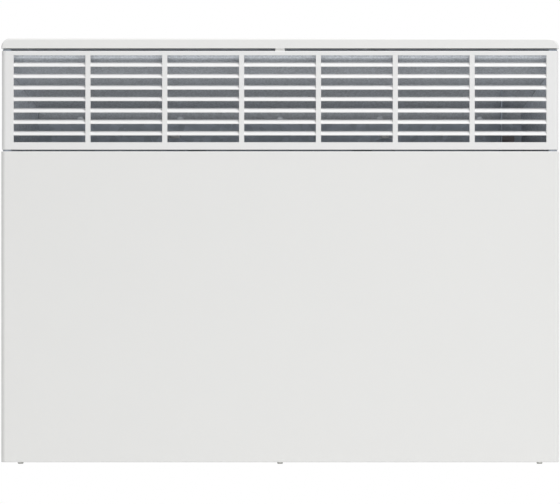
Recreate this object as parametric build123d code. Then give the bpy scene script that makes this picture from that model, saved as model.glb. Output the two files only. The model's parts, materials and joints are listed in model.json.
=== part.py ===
from build123d import *
import math
import os

# Wall panel convector heater: a slim sheet-steel heater that hangs on a wall bracket.
# Cool air enters through the bottom, is warmed by a finned element and leaves through
# the louvres in the upper front.
#
# Units are millimetres.  X runs to the right seen from the front, the front faces -Y and
# Z is up.  Heights in this file are counted from the bottom edge of the front panel; the
# origin is on the wall, midway between the four wall screws, MOUNT_HEIGHT above that edge.

# ---- Overall size ----
WIDTH = 580.0
HEIGHT = 441.0
DEPTH = 80.0
WALL_GAP = 20.0
SCREWS_BELOW_TOP = 210.0

# ---- Sheet metal and fits ----
SHEET = 1.0
FRONT_SHEET = 1.2
GALVANISED = 0.8
EDGE_BEND = 4.5
EDGE_SOFTENING = 0.7
PANEL_FIT = 0.4
SEAT = 0.3
RUNNING_FIT = 0.05
LOOSE_FIT = 1.0

# ---- Front, from the top down ----
CAP_HEIGHT = 10.7
CAP_GAP = 2.7
GRILLE_HEIGHT = 102.7
GRILLE_INSET = 0.6
PANEL_GAP = 1.7
SIDE_FLANGE = 56.0
FOLDED_RETURN = 14.0

# ---- Louvres ----
SLOT_COLUMNS = 7
SLOT_ROWS = 8
LOUVRE_SIDE = 13.0
BAR_WIDTH = 5.3
BAR_DEPTH = 8.0
ROW_PITCH = 11.9
SLOT_HEIGHT = 7.1
LOUVRE_TOP_MARGIN = 4.5
SLAT_RECESS = 5.6
SLAT_LIP = 0.8
SLAT_THICKNESS = 1.2
SLAT_SWEEP_BACK = 0.42
SLAT_SWEEP_UP = 0.58
SLAT_INNER_SWEEP = 0.75

# ---- Top cap and the clip in its front seam ----
CAP_WALL = 2.0
CAP_CORNER = 10.0
CAP_FRONT_ROUND = 2.0
CAP_BOSS_RADIUS = 4.5
CAP_BOSS_END = 28.0
CAP_BOSS_INNER = 90.0
CAP_BOSS_REAR = 12.0
CAP_BOSS_FRONT = 22.0
CAP_RIB = 1.5
CLIP_WIDTH = 10.0
CLIP_REACH = 4.2
CLIP_WALL = 1.4
CLIP_ROUND = 0.8

# ---- Rear casing and its end sheets ----
CASING_RETURN = 9.0
CASING_TOP_SETBACK = 3.0
CASING_TOP_LAND = 1.0
REAR_BEND = 3.0
FLOOR_BEND = 2.0
END_FLANGE = 12.0
END_RIVET_INSET = 8.0
END_RIVET_MARGIN = 28.0
END_RIVETS = 4
BEAD_WIDTH = 10.0
BEAD_DEPTH = 2.0
BEAD_END = 90.0
LOWER_BEAD = -138.0
UPPER_BEAD = 38.0

# ---- Bottom inlet and its finger guard ----
INLET_SIDE = 22.0
INLET_FRONT = 20.0
INLET_REAR = 8.0
INLET_SLOT_WIDTH = 8.0
INLET_SLOT_PITCH = 14.0
INLET_RIM = 6.0
INLET_RIB = 4.0

# ---- Heat deflector, and the slanted side deflectors under it ----
HOOD_LIP = 5.6
HOOD_FALL = 52.0
HOOD_FLANGE = 14.0
HOOD_BEND = 12.0
HOOD_RIVETS = 5
HOOD_RIVET_END = 43.0
HOOD_RIVET_RISE = 3.5
CHEEK_REAR_INSET = 37.0
CHEEK_FRONT_SETBACK = 18.0
CHEEK_DROP = 67.7
CHEEK_FLANGE = 12.0
CHEEK_FRONT_FLANGE = 8.0
CHEEK_RIVET_LOW = 8.0
CHEEK_RIVET_GAP = 38.0

# ---- Electrical compartment ----
PARTITION_INSET = 58.3
PARTITION_FLANGE = 12.0
PARTITION_UPPER_DEPTH = 30.0
PARTITION_RIVET_LOW = 90.0
PARTITION_RIVET_DROP = 24.0
LEAD_HOLE_RADIUS = 4.0
CUTOUT_RADIUS = 8.0
CUTOUT_LENGTH = 7.0
CUTOUT_RISE = 54.0
CUTOUT_FORWARD = 15.0
CUTOUT_SILL = 2.0
CUTOUT_EAR = 4.0
CUTOUT_EAR_ROUND = 3.5
BLADE_LENGTH = 6.0
BLADE_WIDTH = 6.0
BLADE_THICKNESS = 0.8
BLADE_SPREAD = 10.0

# ---- Heating element ----
ELEMENT_DROP = 85.7
ELEMENT_LEFT_GAP = 54.0
ELEMENT_TO_PARTITION = 25.7
CORE_RADIUS = 8.0
ROD_RADIUS = 4.0
ROD_FIT = 0.1
ROD_OVERHANG = 16.0
PIN_RADIUS = 1.25
PIN_LENGTH = 5.0
WING_LENGTH = 40.0
WING_ANGLE = 52.0
WING_THICKNESS = 2.2
WING_TIP = 1.76
FIN_COUNT = 6
FIN_LENGTH = 4.5
FIN_THICKNESS = 1.2
BUSH_RADIUS = 7.0
BUSH_SHOULDER_RADIUS = 10.5
BUSH_SHOULDER = 3.0
BUSH_LENGTH = 9.0
BRACKET_SHEET = 1.5
BRACKET_WIDTH = 30.0
BRACKET_FLANGE = 12.0
BRACKET_ROUND = 10.5

# ---- Element hangers ----
HANGER_X = 86.3
HANGER_WIDTH = 19.0
HANGER_CLEARANCE = 6.7
HANGER_TONGUE = 14.3
HANGER_TONGUE_GAP = 3.0
HANGER_FOOT = 16.0
HANGER_HOLE = 4.0
HANGER_CROWN_FLAT = 0.5
HANGER_EYE_RISE = 1.0
INSULATOR_RADIUS = 4.0
PILOT_DEPTH = 14.0
PILOT_END_GAP = 2.0

# ---- Control well in the cap ----
WELL_WIDTH = 108.0
WELL_END = 16.0
WELL_REAR = 10.0
WELL_FRONT = 56.0
WELL_CORNER = 4.0
WELL_WALL = 1.5
WELL_FLOOR_DROP = 8.0
WELL_FLOOR = 2.0
FASCIA_RECESS = 0.6
FASCIA_RIM = 4.0
FASCIA_RIM_THICKNESS = 1.5
FASCIA_FOOT_WIDTH = 6.0
FASCIA_FOOT_SPACING = 24.0

# ---- Thermostat knob, spindle ----
KNOB_INSET = 22.0
KNOB_RADIUS = 16.0
KNOB_HEIGHT = 7.2
KNOB_LIFT = 0.5
KNOB_ROUND = 1.2
KNOB_WALL = 2.0
KNOB_HOLLOW = 1.5
KNOB_DISH_RADIUS = 27.2
KNOB_DISH_DEPTH = 1.2
KNOB_FLUTES = 24
FLUTE_RADIUS = 1.1
FLUTE_BITE = 0.7
POINTER_WIDTH = 2.0
POINTER_INNER = 3.0
POINTER_DEPTH = 2.3
POINTER_SINK = 0.2
SPINDLE_RADIUS = 3.0
SPINDLE_RISE = 4.5
SPINDLE_FLAT = 1.8

# ---- Mode slider and indicator lens ----
SLIDER_INSET = 56.0
SLIDER_TRAVEL = 12.0
SLIDER_STEM = 3.0
SLIDER_CAP_X = 8.0
SLIDER_CAP_Y = 10.0
SLIDER_CAP_HEIGHT = 4.0
SLIDER_CAP_BEVEL = 1.0
SLIDER_GROOVE_PITCH = 2.0
SLIDER_GROOVE_WIDTH = 0.8
SLIDER_FOOT = 1.2
SLIDER_FOOT_WIDTH = 6.0
LENS_RADIUS = 2.5
LENS_REARWARD = 15.0
LENS_RISE = 1.2
LENS_DOME = 1.1
LENS_SHANK = 1.0

# ---- On/off switch ----
ROCKER_INSET = 18.0
ROCKER_LENGTH = 18.0
ROCKER_WIDTH = 12.0
ROCKER_SWING = 14.0
ROCKER_GAP = 0.2
ROCKER_CREST = 4.0
ROCKER_WAIST = 2.4
ROCKER_SKIRT = 1.5
ROCKER_TAIL = 5.0
ROCKER_TAIL_WIDTH = 6.0
PIVOT_DROP = 0.5
PIVOT_RADIUS = 1.2
PIVOT_REACH = 1.2
PIVOT_SKIN = 0.4
SWITCH_WALL = 1.5
SWITCH_DEPTH = 18.0
SWITCH_CAVITY = 7.5
BEZEL_LAP = 1.5
BEZEL_HEIGHT = 1.2

# ---- Control board ----
BOARD_DROP = 6.0
BOARD_THICKNESS = 1.6
BOARD_INSET = 4.0
BOARD_WIDTH = 70.0
BOARD_DEPTH = 38.0
POST_RADIUS = 2.5
POST_INSET = 4.0
DIAL_SEAT_RADIUS = 8.0
SLIDE_BODY_DEPTH = 7.0
LAMP_RADIUS = 2.0
RELAY_SIZE = 10.0
RELAY_INSET = 34.0
RELAY_FRONT = 17.0
RELAY_GAP = 0.8
CAPACITOR_RADIUS = 2.2
CAPACITOR_INSET = 62.0
CAPACITOR_FRONT = 9.0
CAPACITOR_GAP = 1.3

# ---- Wall bracket, hooks and latches ----
STEEL = 1.5
SCREW_SPACING_X = 300.0
SCREW_SPACING_Z = 190.0
SCREW_HOLE_RADIUS = 3.25
BRACKET_RIM = 34.0
BRACKET_MARGIN = 17.0
BRACKET_CORNER = 8.5
HOOK_X = 110.0
HOOK_WIDTH = 24.0
HOOK_TIP = 10.0
HOOK_ROUND = 4.0
LATCH_X = 110.0
LATCH_ARM_WIDTH = 50.0
LATCH_ARM_ROUND = 5.0
LATCH_PIN_RADIUS = 3.0
LATCH_HUB_RADIUS = 5.0
LATCH_SETBACK = 11.0
LATCH_REACH = 17.0
LATCH_WIDTH = 7.0
LATCH_THICKNESS = 2.5
LATCH_ROUND = 1.5
LATCH_GAP = 0.1
LATCH_HEAD_RADIUS = 6.0
LATCH_HEAD_HEIGHT = 3.0
LATCH_HEAD_ROUND = 0.6
LATCH_COIN_SLOT = 1.2
LATCH_COIN_DEPTH = 1.6

# ---- Cord gland, terminals, earth stud, leads and room sensor ----
GLAND_INSET = 28.0
GLAND_HEIGHT = 30.0
GLAND_BORE_RADIUS = 4.5
GLAND_BODY_RADIUS = 7.5
GLAND_FLANGE_RADIUS = 10.5
GLAND_FLANGE = 3.0
GLAND_LENGTH = 16.0
GLAND_PROUD = 4.0
GLAND_BEVEL = 1.5
TERMINAL_INSET = 24.8
TERMINAL_HEIGHT = 66.0
TERMINAL_WAYS = 4
TERMINAL_PITCH = 10.0
TERMINAL_WAY_WIDTH = 8.0
TERMINAL_WAY_HEIGHT = 15.0
TERMINAL_WAY_DEPTH = 10.0
TERMINAL_BASE_HEIGHT = 18.0
TERMINAL_BASE_DEPTH = 7.0
FUNNEL_RADIUS = 2.2
FUNNEL_DEPTH = 11.0
FUNNEL_MOUTH = 4.5
SCREW_WELL_RADIUS = 2.4
EARTH_ABOVE_TERMINAL = 30.0
EARTH_INSET = 18.0
EARTH_RADIUS = 2.0
EARTH_LENGTH = 12.0
EARTH_NUT_RADIUS = 4.0
EARTH_NUT_HEIGHT = 4.0
LEAD_COUNT = 2
LEAD_RADIUS = 1.3
LEAD_BEND = 8.0
LEAD_SPACING = 6.0
LEAD_FORWARD = 7.0
LEAD_INSET = 22.0
LEAD_TURN_BELOW = 30.0
LEAD_UNDER_BOARD = 17.4
LEAD_BOARD_INSET = 12.0
LEAD_BOARD_REAR = 6.0
SENSOR_INSET = 32.0
SENSOR_FORWARD = 12.0
SENSOR_RADIUS = 2.9
SENSOR_LENGTH = 14.0
SENSOR_ROUND = 2.6
SENSOR_RISE = 14.0
SENSOR_CLIP_WIDTH = 8.0
SENSOR_CLIP_POST = 3.0
SENSOR_CLIP_WALL = 1.2
SENSOR_FOOT_LENGTH = 18.0
SENSOR_FOOT_WIDTH = 12.0
SENSOR_FOOT_THICKNESS = 1.5

# ---- Fasteners ----
RIVET_RADIUS = 2.0
RIVET_FIT = 0.1
RIVET_HEAD = 3.6
RIVET_HEAD_HEIGHT = 1.2
RIVET_HEAD_BEVEL = 0.6
RIVET_TAIL = 2.9
SCREW_RADIUS = 2.0
SCREW_HEAD = 3.0
SCREW_HEAD_HEIGHT = 1.8
SCREW_HEAD_BEVEL = 0.63
SCREW_CROSS = 0.72
FRONT_SCREW_INSET = 20.0

# ---- Worked out from the sizes above ----
HALF_WIDTH = WIDTH / 2
MOUNT_HEIGHT = HEIGHT - SCREWS_BELOW_TOP
BACK_Y = -WALL_GAP
FRONT_Y = BACK_Y - DEPTH
MIDDLE_Y = (BACK_Y + FRONT_Y) / 2
CAP_Z0 = HEIGHT - CAP_HEIGHT
CAP_CEILING = HEIGHT - CAP_WALL
GRILLE_Z1 = CAP_Z0 - CAP_GAP
GRILLE_Z0 = GRILLE_Z1 - GRILLE_HEIGHT
PANEL_Z1 = GRILLE_Z0 - PANEL_GAP
CASING_X = HALF_WIDTH - GRILLE_INSET - SHEET
CASING_Z0 = FRONT_SHEET
CASING_Z1 = CAP_Z0 - CASING_TOP_LAND
CASING_FRONT_Y = FRONT_Y + FRONT_SHEET + PANEL_FIT
INNER_BACK_Y = BACK_Y - SHEET
INNER_X = CASING_X - SHEET
RETURN_HALF = CASING_X - CASING_RETURN - SEAT
LOUVRE_WIDTH = WIDTH - 2 * LOUVRE_SIDE
SLOT_WIDTH = (LOUVRE_WIDTH - (SLOT_COLUMNS - 1) * BAR_WIDTH) / SLOT_COLUMNS
COLUMN_PITCH = SLOT_WIDTH + BAR_WIDTH
SLAT_HEIGHT = ROW_PITCH - SLOT_HEIGHT
LOUVRE_HEIGHT = (SLOT_ROWS - 1) * ROW_PITCH + SLOT_HEIGHT
SLOT_TOP = GRILLE_Z1 - LOUVRE_TOP_MARGIN
HOOD_FRONT_Y = FRONT_Y + BAR_DEPTH + SEAT + GALVANISED
HOOD_TOP = GRILLE_Z1 - SHEET - SEAT
HOOD_FRONT_Z = HOOD_TOP - HOOD_LIP
HOOD_REAR_Z = HOOD_FRONT_Z - HOOD_FALL
HOOD_LOW = HOOD_REAR_Z - HOOD_FLANGE
CHEEK_LOW = HOOD_REAR_Z - CHEEK_DROP
CHEEK_REAR_X = HALF_WIDTH - CHEEK_REAR_INSET
CHEEK_FRONT_X = INNER_X - GALVANISED
CHEEK_FRONT_Y = FRONT_Y + CHEEK_FRONT_SETBACK
PARTITION_X = HALF_WIDTH - PARTITION_INSET
ELEMENT_HEIGHT = HOOD_REAR_Z - ELEMENT_DROP
ELEMENT_LEFT = ELEMENT_LEFT_GAP - HALF_WIDTH
ELEMENT_RIGHT = PARTITION_X - ELEMENT_TO_PARTITION
ELEMENT_RISE = WING_LENGTH * math.sin(math.radians(WING_ANGLE)) + WING_TIP
ROD_Y = MIDDLE_Y
HANGER_ARM = ELEMENT_HEIGHT + ELEMENT_RISE + HANGER_CLEARANCE
HANGER_TOP = HANGER_ARM + HANGER_TONGUE
HANGER_TONGUE_Y = ROD_Y - INSULATOR_RADIUS - HANGER_TONGUE_GAP
CUTOUT_Y = INNER_BACK_Y - CUTOUT_FORWARD
CUTOUT_HEIGHT = ELEMENT_HEIGHT + CUTOUT_RISE
WELL_RIGHT = HALF_WIDTH - WELL_END
WELL_LEFT = WELL_RIGHT - WELL_WIDTH
WELL_FLOOR_Z = HEIGHT - WELL_FLOOR_DROP - WELL_FLOOR
FLOOR_TOP = WELL_FLOOR_Z + WELL_FLOOR
FASCIA_TOP = HEIGHT - FASCIA_RECESS
FASCIA_RIM_TOP = CAP_CEILING - SEAT
CONTROL_Y = BACK_Y - (WELL_REAR + WELL_FRONT) / 2
KNOB_X = WELL_LEFT + KNOB_INSET
KNOB_Z = FLOOR_TOP + KNOB_LIFT
SPINDLE_TOP = FLOOR_TOP + SPINDLE_RISE
SLIDER_X = WELL_LEFT + SLIDER_INSET
SLIDER_REST_X = SLIDER_X - SLIDER_TRAVEL / 2
SLIDER_FOOT_Z = WELL_FLOOR_Z - SEAT - SLIDER_FOOT
LENS_Y = CONTROL_Y + LENS_REARWARD
LENS_FOOT_Z = WELL_FLOOR_Z - LENS_SHANK
ROCKER_X = WELL_RIGHT - ROCKER_INSET
PIVOT_Z = FLOOR_TOP - PIVOT_DROP
CAVITY_X = ROCKER_LENGTH / 2 + 2 * ROCKER_GAP
CAVITY_Y = ROCKER_WIDTH / 2 + 2 * ROCKER_GAP
BOARD_LEFT = WELL_LEFT + BOARD_INSET
BOARD_RIGHT = BOARD_LEFT + BOARD_WIDTH
BOARD_Z = WELL_FLOOR_Z - BOARD_DROP - BOARD_THICKNESS
BOARD_TOP = BOARD_Z + BOARD_THICKNESS
BRACKET_TOP = MOUNT_HEIGHT + SCREW_SPACING_Z / 2 + BRACKET_MARGIN
BRACKET_BOTTOM = MOUNT_HEIGHT - SCREW_SPACING_Z / 2 - BRACKET_MARGIN
LATCH_Y = BACK_Y + LATCH_SETBACK
LATCH_WING_TOP = BRACKET_TOP - STEEL - LATCH_GAP
LATCH_WING_BOTTOM = LATCH_WING_TOP - LATCH_THICKNESS
GLAND_X = HALF_WIDTH - GLAND_INSET
TERMINAL_X = HALF_WIDTH - TERMINAL_INSET
TERMINAL_FRONT_Y = INNER_BACK_Y - TERMINAL_BASE_DEPTH - TERMINAL_WAY_DEPTH
FUNNEL_Y = INNER_BACK_Y - FUNNEL_DEPTH
EARTH_X = HALF_WIDTH - EARTH_INSET
EARTH_HEIGHT = TERMINAL_HEIGHT + EARTH_ABOVE_TERMINAL
SENSOR_X = HALF_WIDTH - SENSOR_INSET
SENSOR_Y = ROD_Y - SENSOR_FORWARD
SENSOR_SEAT_Z = CASING_Z0 + 2 * SHEET

# ---- Where screws and rivets go ----
CAP_BOSS_X = (CAP_BOSS_END - HALF_WIDTH, -CAP_BOSS_INNER, CAP_BOSS_INNER)
END_RIVET_X = CASING_X - END_RIVET_INSET
END_RIVET_STEP = (CASING_Z1 - CASING_Z0 - 2 * END_RIVET_MARGIN) / (END_RIVETS - 1)
END_RIVET_Z = [
    CASING_Z0 + END_RIVET_MARGIN + index * END_RIVET_STEP for index in range(END_RIVETS)
]
HOOD_RIVET_SPAN = 2 * (CHEEK_REAR_X - HOOD_RIVET_END)
HOOD_RIVET_STEP = HOOD_RIVET_SPAN / (HOOD_RIVETS - 1)
HOOD_RIVET_X = [index * HOOD_RIVET_STEP - HOOD_RIVET_SPAN / 2 for index in range(HOOD_RIVETS)]
HOOD_RIVET_Z = HOOD_LOW + HOOD_RIVET_RISE
CHEEK_RIVET_X = CHEEK_REAR_X + CHEEK_FLANGE * 2 / 3
CHEEK_RIVET_Z = (CHEEK_LOW + CHEEK_RIVET_LOW, CHEEK_LOW + CHEEK_RIVET_LOW + CHEEK_RIVET_GAP)
PARTITION_RIVET_X = PARTITION_X + SHEET + PARTITION_FLANGE / 2
PARTITION_RIVET_TOP = HOOD_LOW - PARTITION_RIVET_DROP
PARTITION_RIVET_MIDDLE = (PARTITION_RIVET_LOW + PARTITION_RIVET_TOP) / 2
PARTITION_RIVET_Z = (PARTITION_RIVET_LOW, PARTITION_RIVET_MIDDLE, PARTITION_RIVET_TOP)
HANGER_RIVET_Z = HANGER_ARM - HANGER_FOOT / 2
BRACKET_PLATE_LEFT = ELEMENT_LEFT - SEAT - BUSH_SHOULDER - SEAT
BRACKET_PLATE_RIGHT = ELEMENT_RIGHT + SEAT + BUSH_SHOULDER + SEAT
BRACKET_RIVET_OUT = BRACKET_SHEET + BRACKET_FLANGE / 2
BRACKET_RIVET_X = (BRACKET_PLATE_LEFT - BRACKET_RIVET_OUT, BRACKET_PLATE_RIGHT + BRACKET_RIVET_OUT)
BRACKET_RIVET_SPREAD = BRACKET_WIDTH / 4
BRACKET_RIVET_Z = (ELEMENT_HEIGHT - BRACKET_RIVET_SPREAD, ELEMENT_HEIGHT + BRACKET_RIVET_SPREAD)


# ---- Shapes used by several pieces ----
def block(x0, x1, y0, y1, z0, z1):
    """A rectangular block between two corners."""
    size = (x1 - x0, y1 - y0, z1 - z0)
    return Pos((x0 + x1) / 2, (y0 + y1) / 2, (z0 + z1) / 2) * Box(*size)


def rod(radius, start, end):
    """A round bar between two points."""
    direction = Vector(*end) - Vector(*start)
    place = Plane(origin=start, z_dir=direction)
    low = (Align.CENTER, Align.CENTER, Align.MIN)
    return place * Cylinder(radius, direction.length, align=low)


def rod_along_x(radius, x0, x1, y, z):
    """A round bar that lies across the heater."""
    return rod(radius, (x0, y, z), (x1, y, z))


def rod_along_y(radius, x, y0, y1, z):
    """A round bar that runs from front to back or back to front."""
    return rod(radius, (x, y0, z), (x, y1, z))


def upright_rod(radius, x, y, z0, z1):
    """A round bar that stands on end."""
    return rod(radius, (x, y, z0), (x, y, z1))


def upright_block(x0, x1, y0, y1, z0, z1, radius):
    """A block whose four vertical edges are rounded."""
    body = block(x0, x1, y0, y1, z0, z1)
    return fillet(body.edges().filter_by(Axis.Z), radius)


def front_rounded_block(half_width, y0, y1, z0, z1, radius):
    """A block whose two front vertical edges are bent round."""
    body = block(-half_width, half_width, y0, y1, z0, z1)
    corners = body.edges().filter_by(Axis.Z).group_by(Axis.Y)[0]
    return fillet(corners, radius)


def bent_strip(points, radius, thickness, side):
    """The closed section of a sheet bent along a path, thickened to one side of it."""
    path = FilletPolyline(*points, radius=radius)
    return make_face(path.offset_2d(thickness, side=side))


def on_yz(section, x0, x1):
    """A section drawn in depth and height, drawn out from one X to another."""
    return Pos(x0, 0, 0) * extrude(Plane.YZ * section, x1 - x0)


def mirrored(shape):
    """The same piece on the other side of the heater."""
    return mirror(shape, Plane.YZ)


# ---- Front ----
def folded_panel(half_width, z0, z1, thickness):
    """A front sheet with bent side flanges and folded returns along its top and bottom."""
    rear = FRONT_Y + SIDE_FLANGE
    panel = front_rounded_block(half_width, FRONT_Y, rear, z0, z1, EDGE_BEND)
    rims = panel.faces().filter_by(Axis.Z).edges()
    panel = fillet(rims.filter_by(Axis.X).group_by(Axis.Y)[0], EDGE_SOFTENING)
    panel -= front_rounded_block(
        half_width - thickness, FRONT_Y + thickness, rear + thickness,
        z0 - thickness, z1 + thickness, EDGE_BEND - thickness,
    )
    skin_y = FRONT_Y + thickness
    return_y = FRONT_Y + FOLDED_RETURN
    lower = block(-RETURN_HALF, RETURN_HALF, skin_y, return_y, z0, z0 + thickness)
    upper = block(-RETURN_HALF, RETURN_HALF, skin_y, return_y, z1 - thickness, z1)
    return panel.fuse(lower, upper)


def slat_section():
    """Louvre blade: a flush lower lip that sweeps up and back into the air path."""
    lip_top = (0.0, SLAT_LIP)
    crest = (SLAT_RECESS, SLAT_HEIGHT)
    inner_crest = (SLAT_RECESS + SLAT_THICKNESS, SLAT_HEIGHT)
    rise = SLAT_HEIGHT - SLAT_LIP
    outer = (SLAT_RECESS * SLAT_SWEEP_BACK, SLAT_LIP + rise * SLAT_SWEEP_UP)
    inset = SLAT_THICKNESS * SLAT_INNER_SWEEP
    inner = (outer[0] + inset, outer[1] - inset)
    with BuildSketch(Plane.YZ) as sketch:
        with BuildLine():
            Line((0.0, 0.0), lip_top)
            ThreePointArc(lip_top, outer, crest)
            Line(crest, inner_crest)
            ThreePointArc(inner_crest, inner, (SLAT_THICKNESS, 0.0))
            Line((SLAT_THICKNESS, 0.0), (0.0, 0.0))
        make_face()
    return sketch.sketch


def louvre_bars(bottom):
    """The upright bars between the louvre columns, and a cheek at each end of the opening."""
    bars = []
    half = BAR_WIDTH / 2
    for column in range(SLOT_COLUMNS + 1):
        centre = (column - SLOT_COLUMNS / 2) * COLUMN_PITCH
        left, right = centre - half, centre + half
        if column == 0:
            left = right - SHEET
        elif column == SLOT_COLUMNS:
            right = left + SHEET
        bars.append(block(left, right, FRONT_Y, FRONT_Y + BAR_DEPTH, bottom, SLOT_TOP))
    return bars


def make_grille_panel():
    """The louvred outlet: folded sheet, upright bars and one long blade for each row gap."""
    panel = folded_panel(HALF_WIDTH - GRILLE_INSET, GRILLE_Z0, GRILLE_Z1, SHEET)
    half_louvre = LOUVRE_WIDTH / 2
    bottom = SLOT_TOP - LOUVRE_HEIGHT
    panel -= block(
        -half_louvre, half_louvre, FRONT_Y - SHEET, FRONT_Y + 2 * SHEET, bottom, SLOT_TOP
    )
    additions = louvre_bars(bottom)
    section = slat_section()
    for row in range(SLOT_ROWS - 1):
        height = SLOT_TOP - SLOT_HEIGHT - row * ROW_PITCH - SLAT_HEIGHT
        blade = extrude(section, LOUVRE_WIDTH)
        additions.append(Pos(-half_louvre, FRONT_Y, height) * blade)
    return panel.fuse(*additions)


def front_screw_places():
    """Where the three screws rise through the bottom of the front panel."""
    x = HALF_WIDTH - FRONT_SCREW_INSET
    y = FRONT_Y + FOLDED_RETURN / 2
    return [(-x, y), (0.0, y), (x, y)]


def make_front_panel():
    """The smooth front below the louvres, with holes for its three bottom screws."""
    panel = folded_panel(HALF_WIDTH, 0.0, PANEL_Z1, FRONT_SHEET)
    for x, y in front_screw_places():
        panel -= upright_rod(SCREW_RADIUS + SEAT, x, y, -SHEET, FRONT_SHEET + SHEET)
    return panel


# ---- Fasteners ----
def screw(start, end):
    """A pan-head screw from under its head to its tip, with a cross recess."""
    axis = (Vector(*end) - Vector(*start)).normalized()
    crown = tuple(Vector(*start) - axis * SCREW_HEAD_HEIGHT)
    head = rod(SCREW_HEAD, crown, start)
    place = Plane(origin=crown, z_dir=axis)
    rim = head.edges().filter_by(GeomType.CIRCLE).sort_by_distance(crown)[0]
    head = chamfer(rim, SCREW_HEAD_BEVEL)
    cross = Box(SCREW_HEAD, SCREW_CROSS, SCREW_HEAD_HEIGHT)
    cross += Box(SCREW_CROSS, SCREW_HEAD, SCREW_HEAD_HEIGHT)
    return head + rod(SCREW_RADIUS, start, end) - place * cross


def make_bottom_screws():
    """Three screws that hold the bottom of the front panel to the casing."""
    tip = CASING_Z0 + CASING_RETURN
    return Compound(children=[screw((x, y, 0.0), (x, y, tip)) for x, y in front_screw_places()])


def cap_boss_places():
    """The screw bosses inside the cap; its right-hand end is held by the control well."""
    rows = (BACK_Y - CAP_BOSS_REAR, FRONT_Y + CAP_BOSS_FRONT)
    return [(x, y) for x in CAP_BOSS_X for y in rows]


def make_cap_screws():
    """Six screws driven up through the casing into the cap's bosses."""
    under = CASING_Z1 - SHEET
    tip = CAP_CEILING - CAP_WALL - SEAT
    return Compound(children=[screw((x, y, under), (x, y, tip)) for x, y in cap_boss_places()])


def rivet_places():
    """Every rivet through the back, with the sheet it holds inside and the one behind."""
    places = [(x, HOOD_RIVET_Z, GALVANISED, 0.0) for x in HOOD_RIVET_X]
    for z in CHEEK_RIVET_Z:
        places += [(x, z, GALVANISED, 0.0) for x in (-CHEEK_RIVET_X, CHEEK_RIVET_X)]
    places += [(PARTITION_RIVET_X, z, SHEET, 0.0) for z in PARTITION_RIVET_Z]
    places += [(x, HANGER_RIVET_Z, BRACKET_SHEET, 0.0) for x in (-HANGER_X, HANGER_X)]
    for z in BRACKET_RIVET_Z:
        places += [(x, z, BRACKET_SHEET, 0.0) for x in BRACKET_RIVET_X]
    for z in END_RIVET_Z:
        places += [(x, z, 0.0, SHEET) for x in (-END_RIVET_X, END_RIVET_X)]
    return places


def drill_for_rivets(sheet):
    """Cuts the rivet holes that fall inside one sheet."""
    box = sheet.bounding_box()
    holes = []
    front, rear = INNER_BACK_Y - 2 * RIVET_HEAD, BACK_Y + 2 * SHEET
    for x, z, _, _ in rivet_places():
        if box.min.X < x < box.max.X and box.min.Z < z < box.max.Z:
            holes.append(rod_along_y(RIVET_RADIUS + RIVET_FIT, x, front, rear, z))
    return sheet.cut(*holes) if holes else sheet


def make_rivets():
    """Blind rivets: a flat head inside, a shank through the sheets and a tail behind."""
    rivets = []
    for x, z, inner_sheet, rear_sheet in rivet_places():
        inner, outer = INNER_BACK_Y - inner_sheet, BACK_Y + rear_sheet
        tail_end = outer + RIVET_HEAD_HEIGHT
        head = rod_along_y(RIVET_HEAD, x, inner - RIVET_HEAD_HEIGHT, inner, z)
        head = chamfer(head.faces().sort_by(Axis.Y)[0].edges(), RIVET_HEAD_BEVEL)
        shank = rod_along_y(RIVET_RADIUS, x, inner, tail_end, z)
        tail = rod_along_y(RIVET_TAIL, x, outer, tail_end, z)
        rivets.append(head + shank + tail)
    return Compound(children=rivets)


# ---- Casing and cap ----
def inlet_window(grow, z0, z1):
    """The air inlet in the bottom, optionally grown all round."""
    half = CASING_X - INLET_SIDE + grow
    front = FRONT_Y + INLET_FRONT - grow
    rear = BACK_Y - INLET_REAR + grow
    return block(-half, half, front, rear, z0, z1)


def well_block(grow, z0, z1, radius):
    """The outline of the control well, grown or shrunk all round."""
    return upright_block(
        WELL_LEFT - grow, WELL_RIGHT + grow,
        BACK_Y - WELL_FRONT - grow, BACK_Y - WELL_REAR + grow, z0, z1, radius,
    )


def bead(length, width, depth, y, z):
    """A pressed stiffening bead with round ends, rising towards the front."""
    place = Plane(origin=(0, y, z), x_dir=(1, 0, 0), z_dir=(0, -1, 0))
    return extrude(place * SlotOverall(length, width), depth)


def latch_slot(x, direction):
    """The slot in the casing that one latch wing turns out of."""
    corner = math.hypot(LATCH_REACH, LATCH_WIDTH / 2)
    swing = math.sqrt(corner ** 2 - LATCH_SETBACK ** 2) + LOOSE_FIT
    near = LATCH_WIDTH / 2 + LOOSE_FIT
    x0, x1 = sorted((x - direction * near, x + direction * swing))
    return block(
        x0, x1, INNER_BACK_Y - SHEET, BACK_Y + SHEET,
        LATCH_WING_BOTTOM - LOOSE_FIT, LATCH_WING_TOP + LOOSE_FIT,
    )


def hook_slot(x):
    """The slot that hangs over one bracket hook, tall enough to pass its tip."""
    half = HOOK_WIDTH / 2 + LOOSE_FIT
    top = BRACKET_BOTTOM + STEEL
    bottom = top - HOOK_TIP - STEEL - 2 * LOOSE_FIT
    return block(x - half, x + half, INNER_BACK_Y - SHEET, BACK_Y + SHEET, bottom, top)


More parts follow.
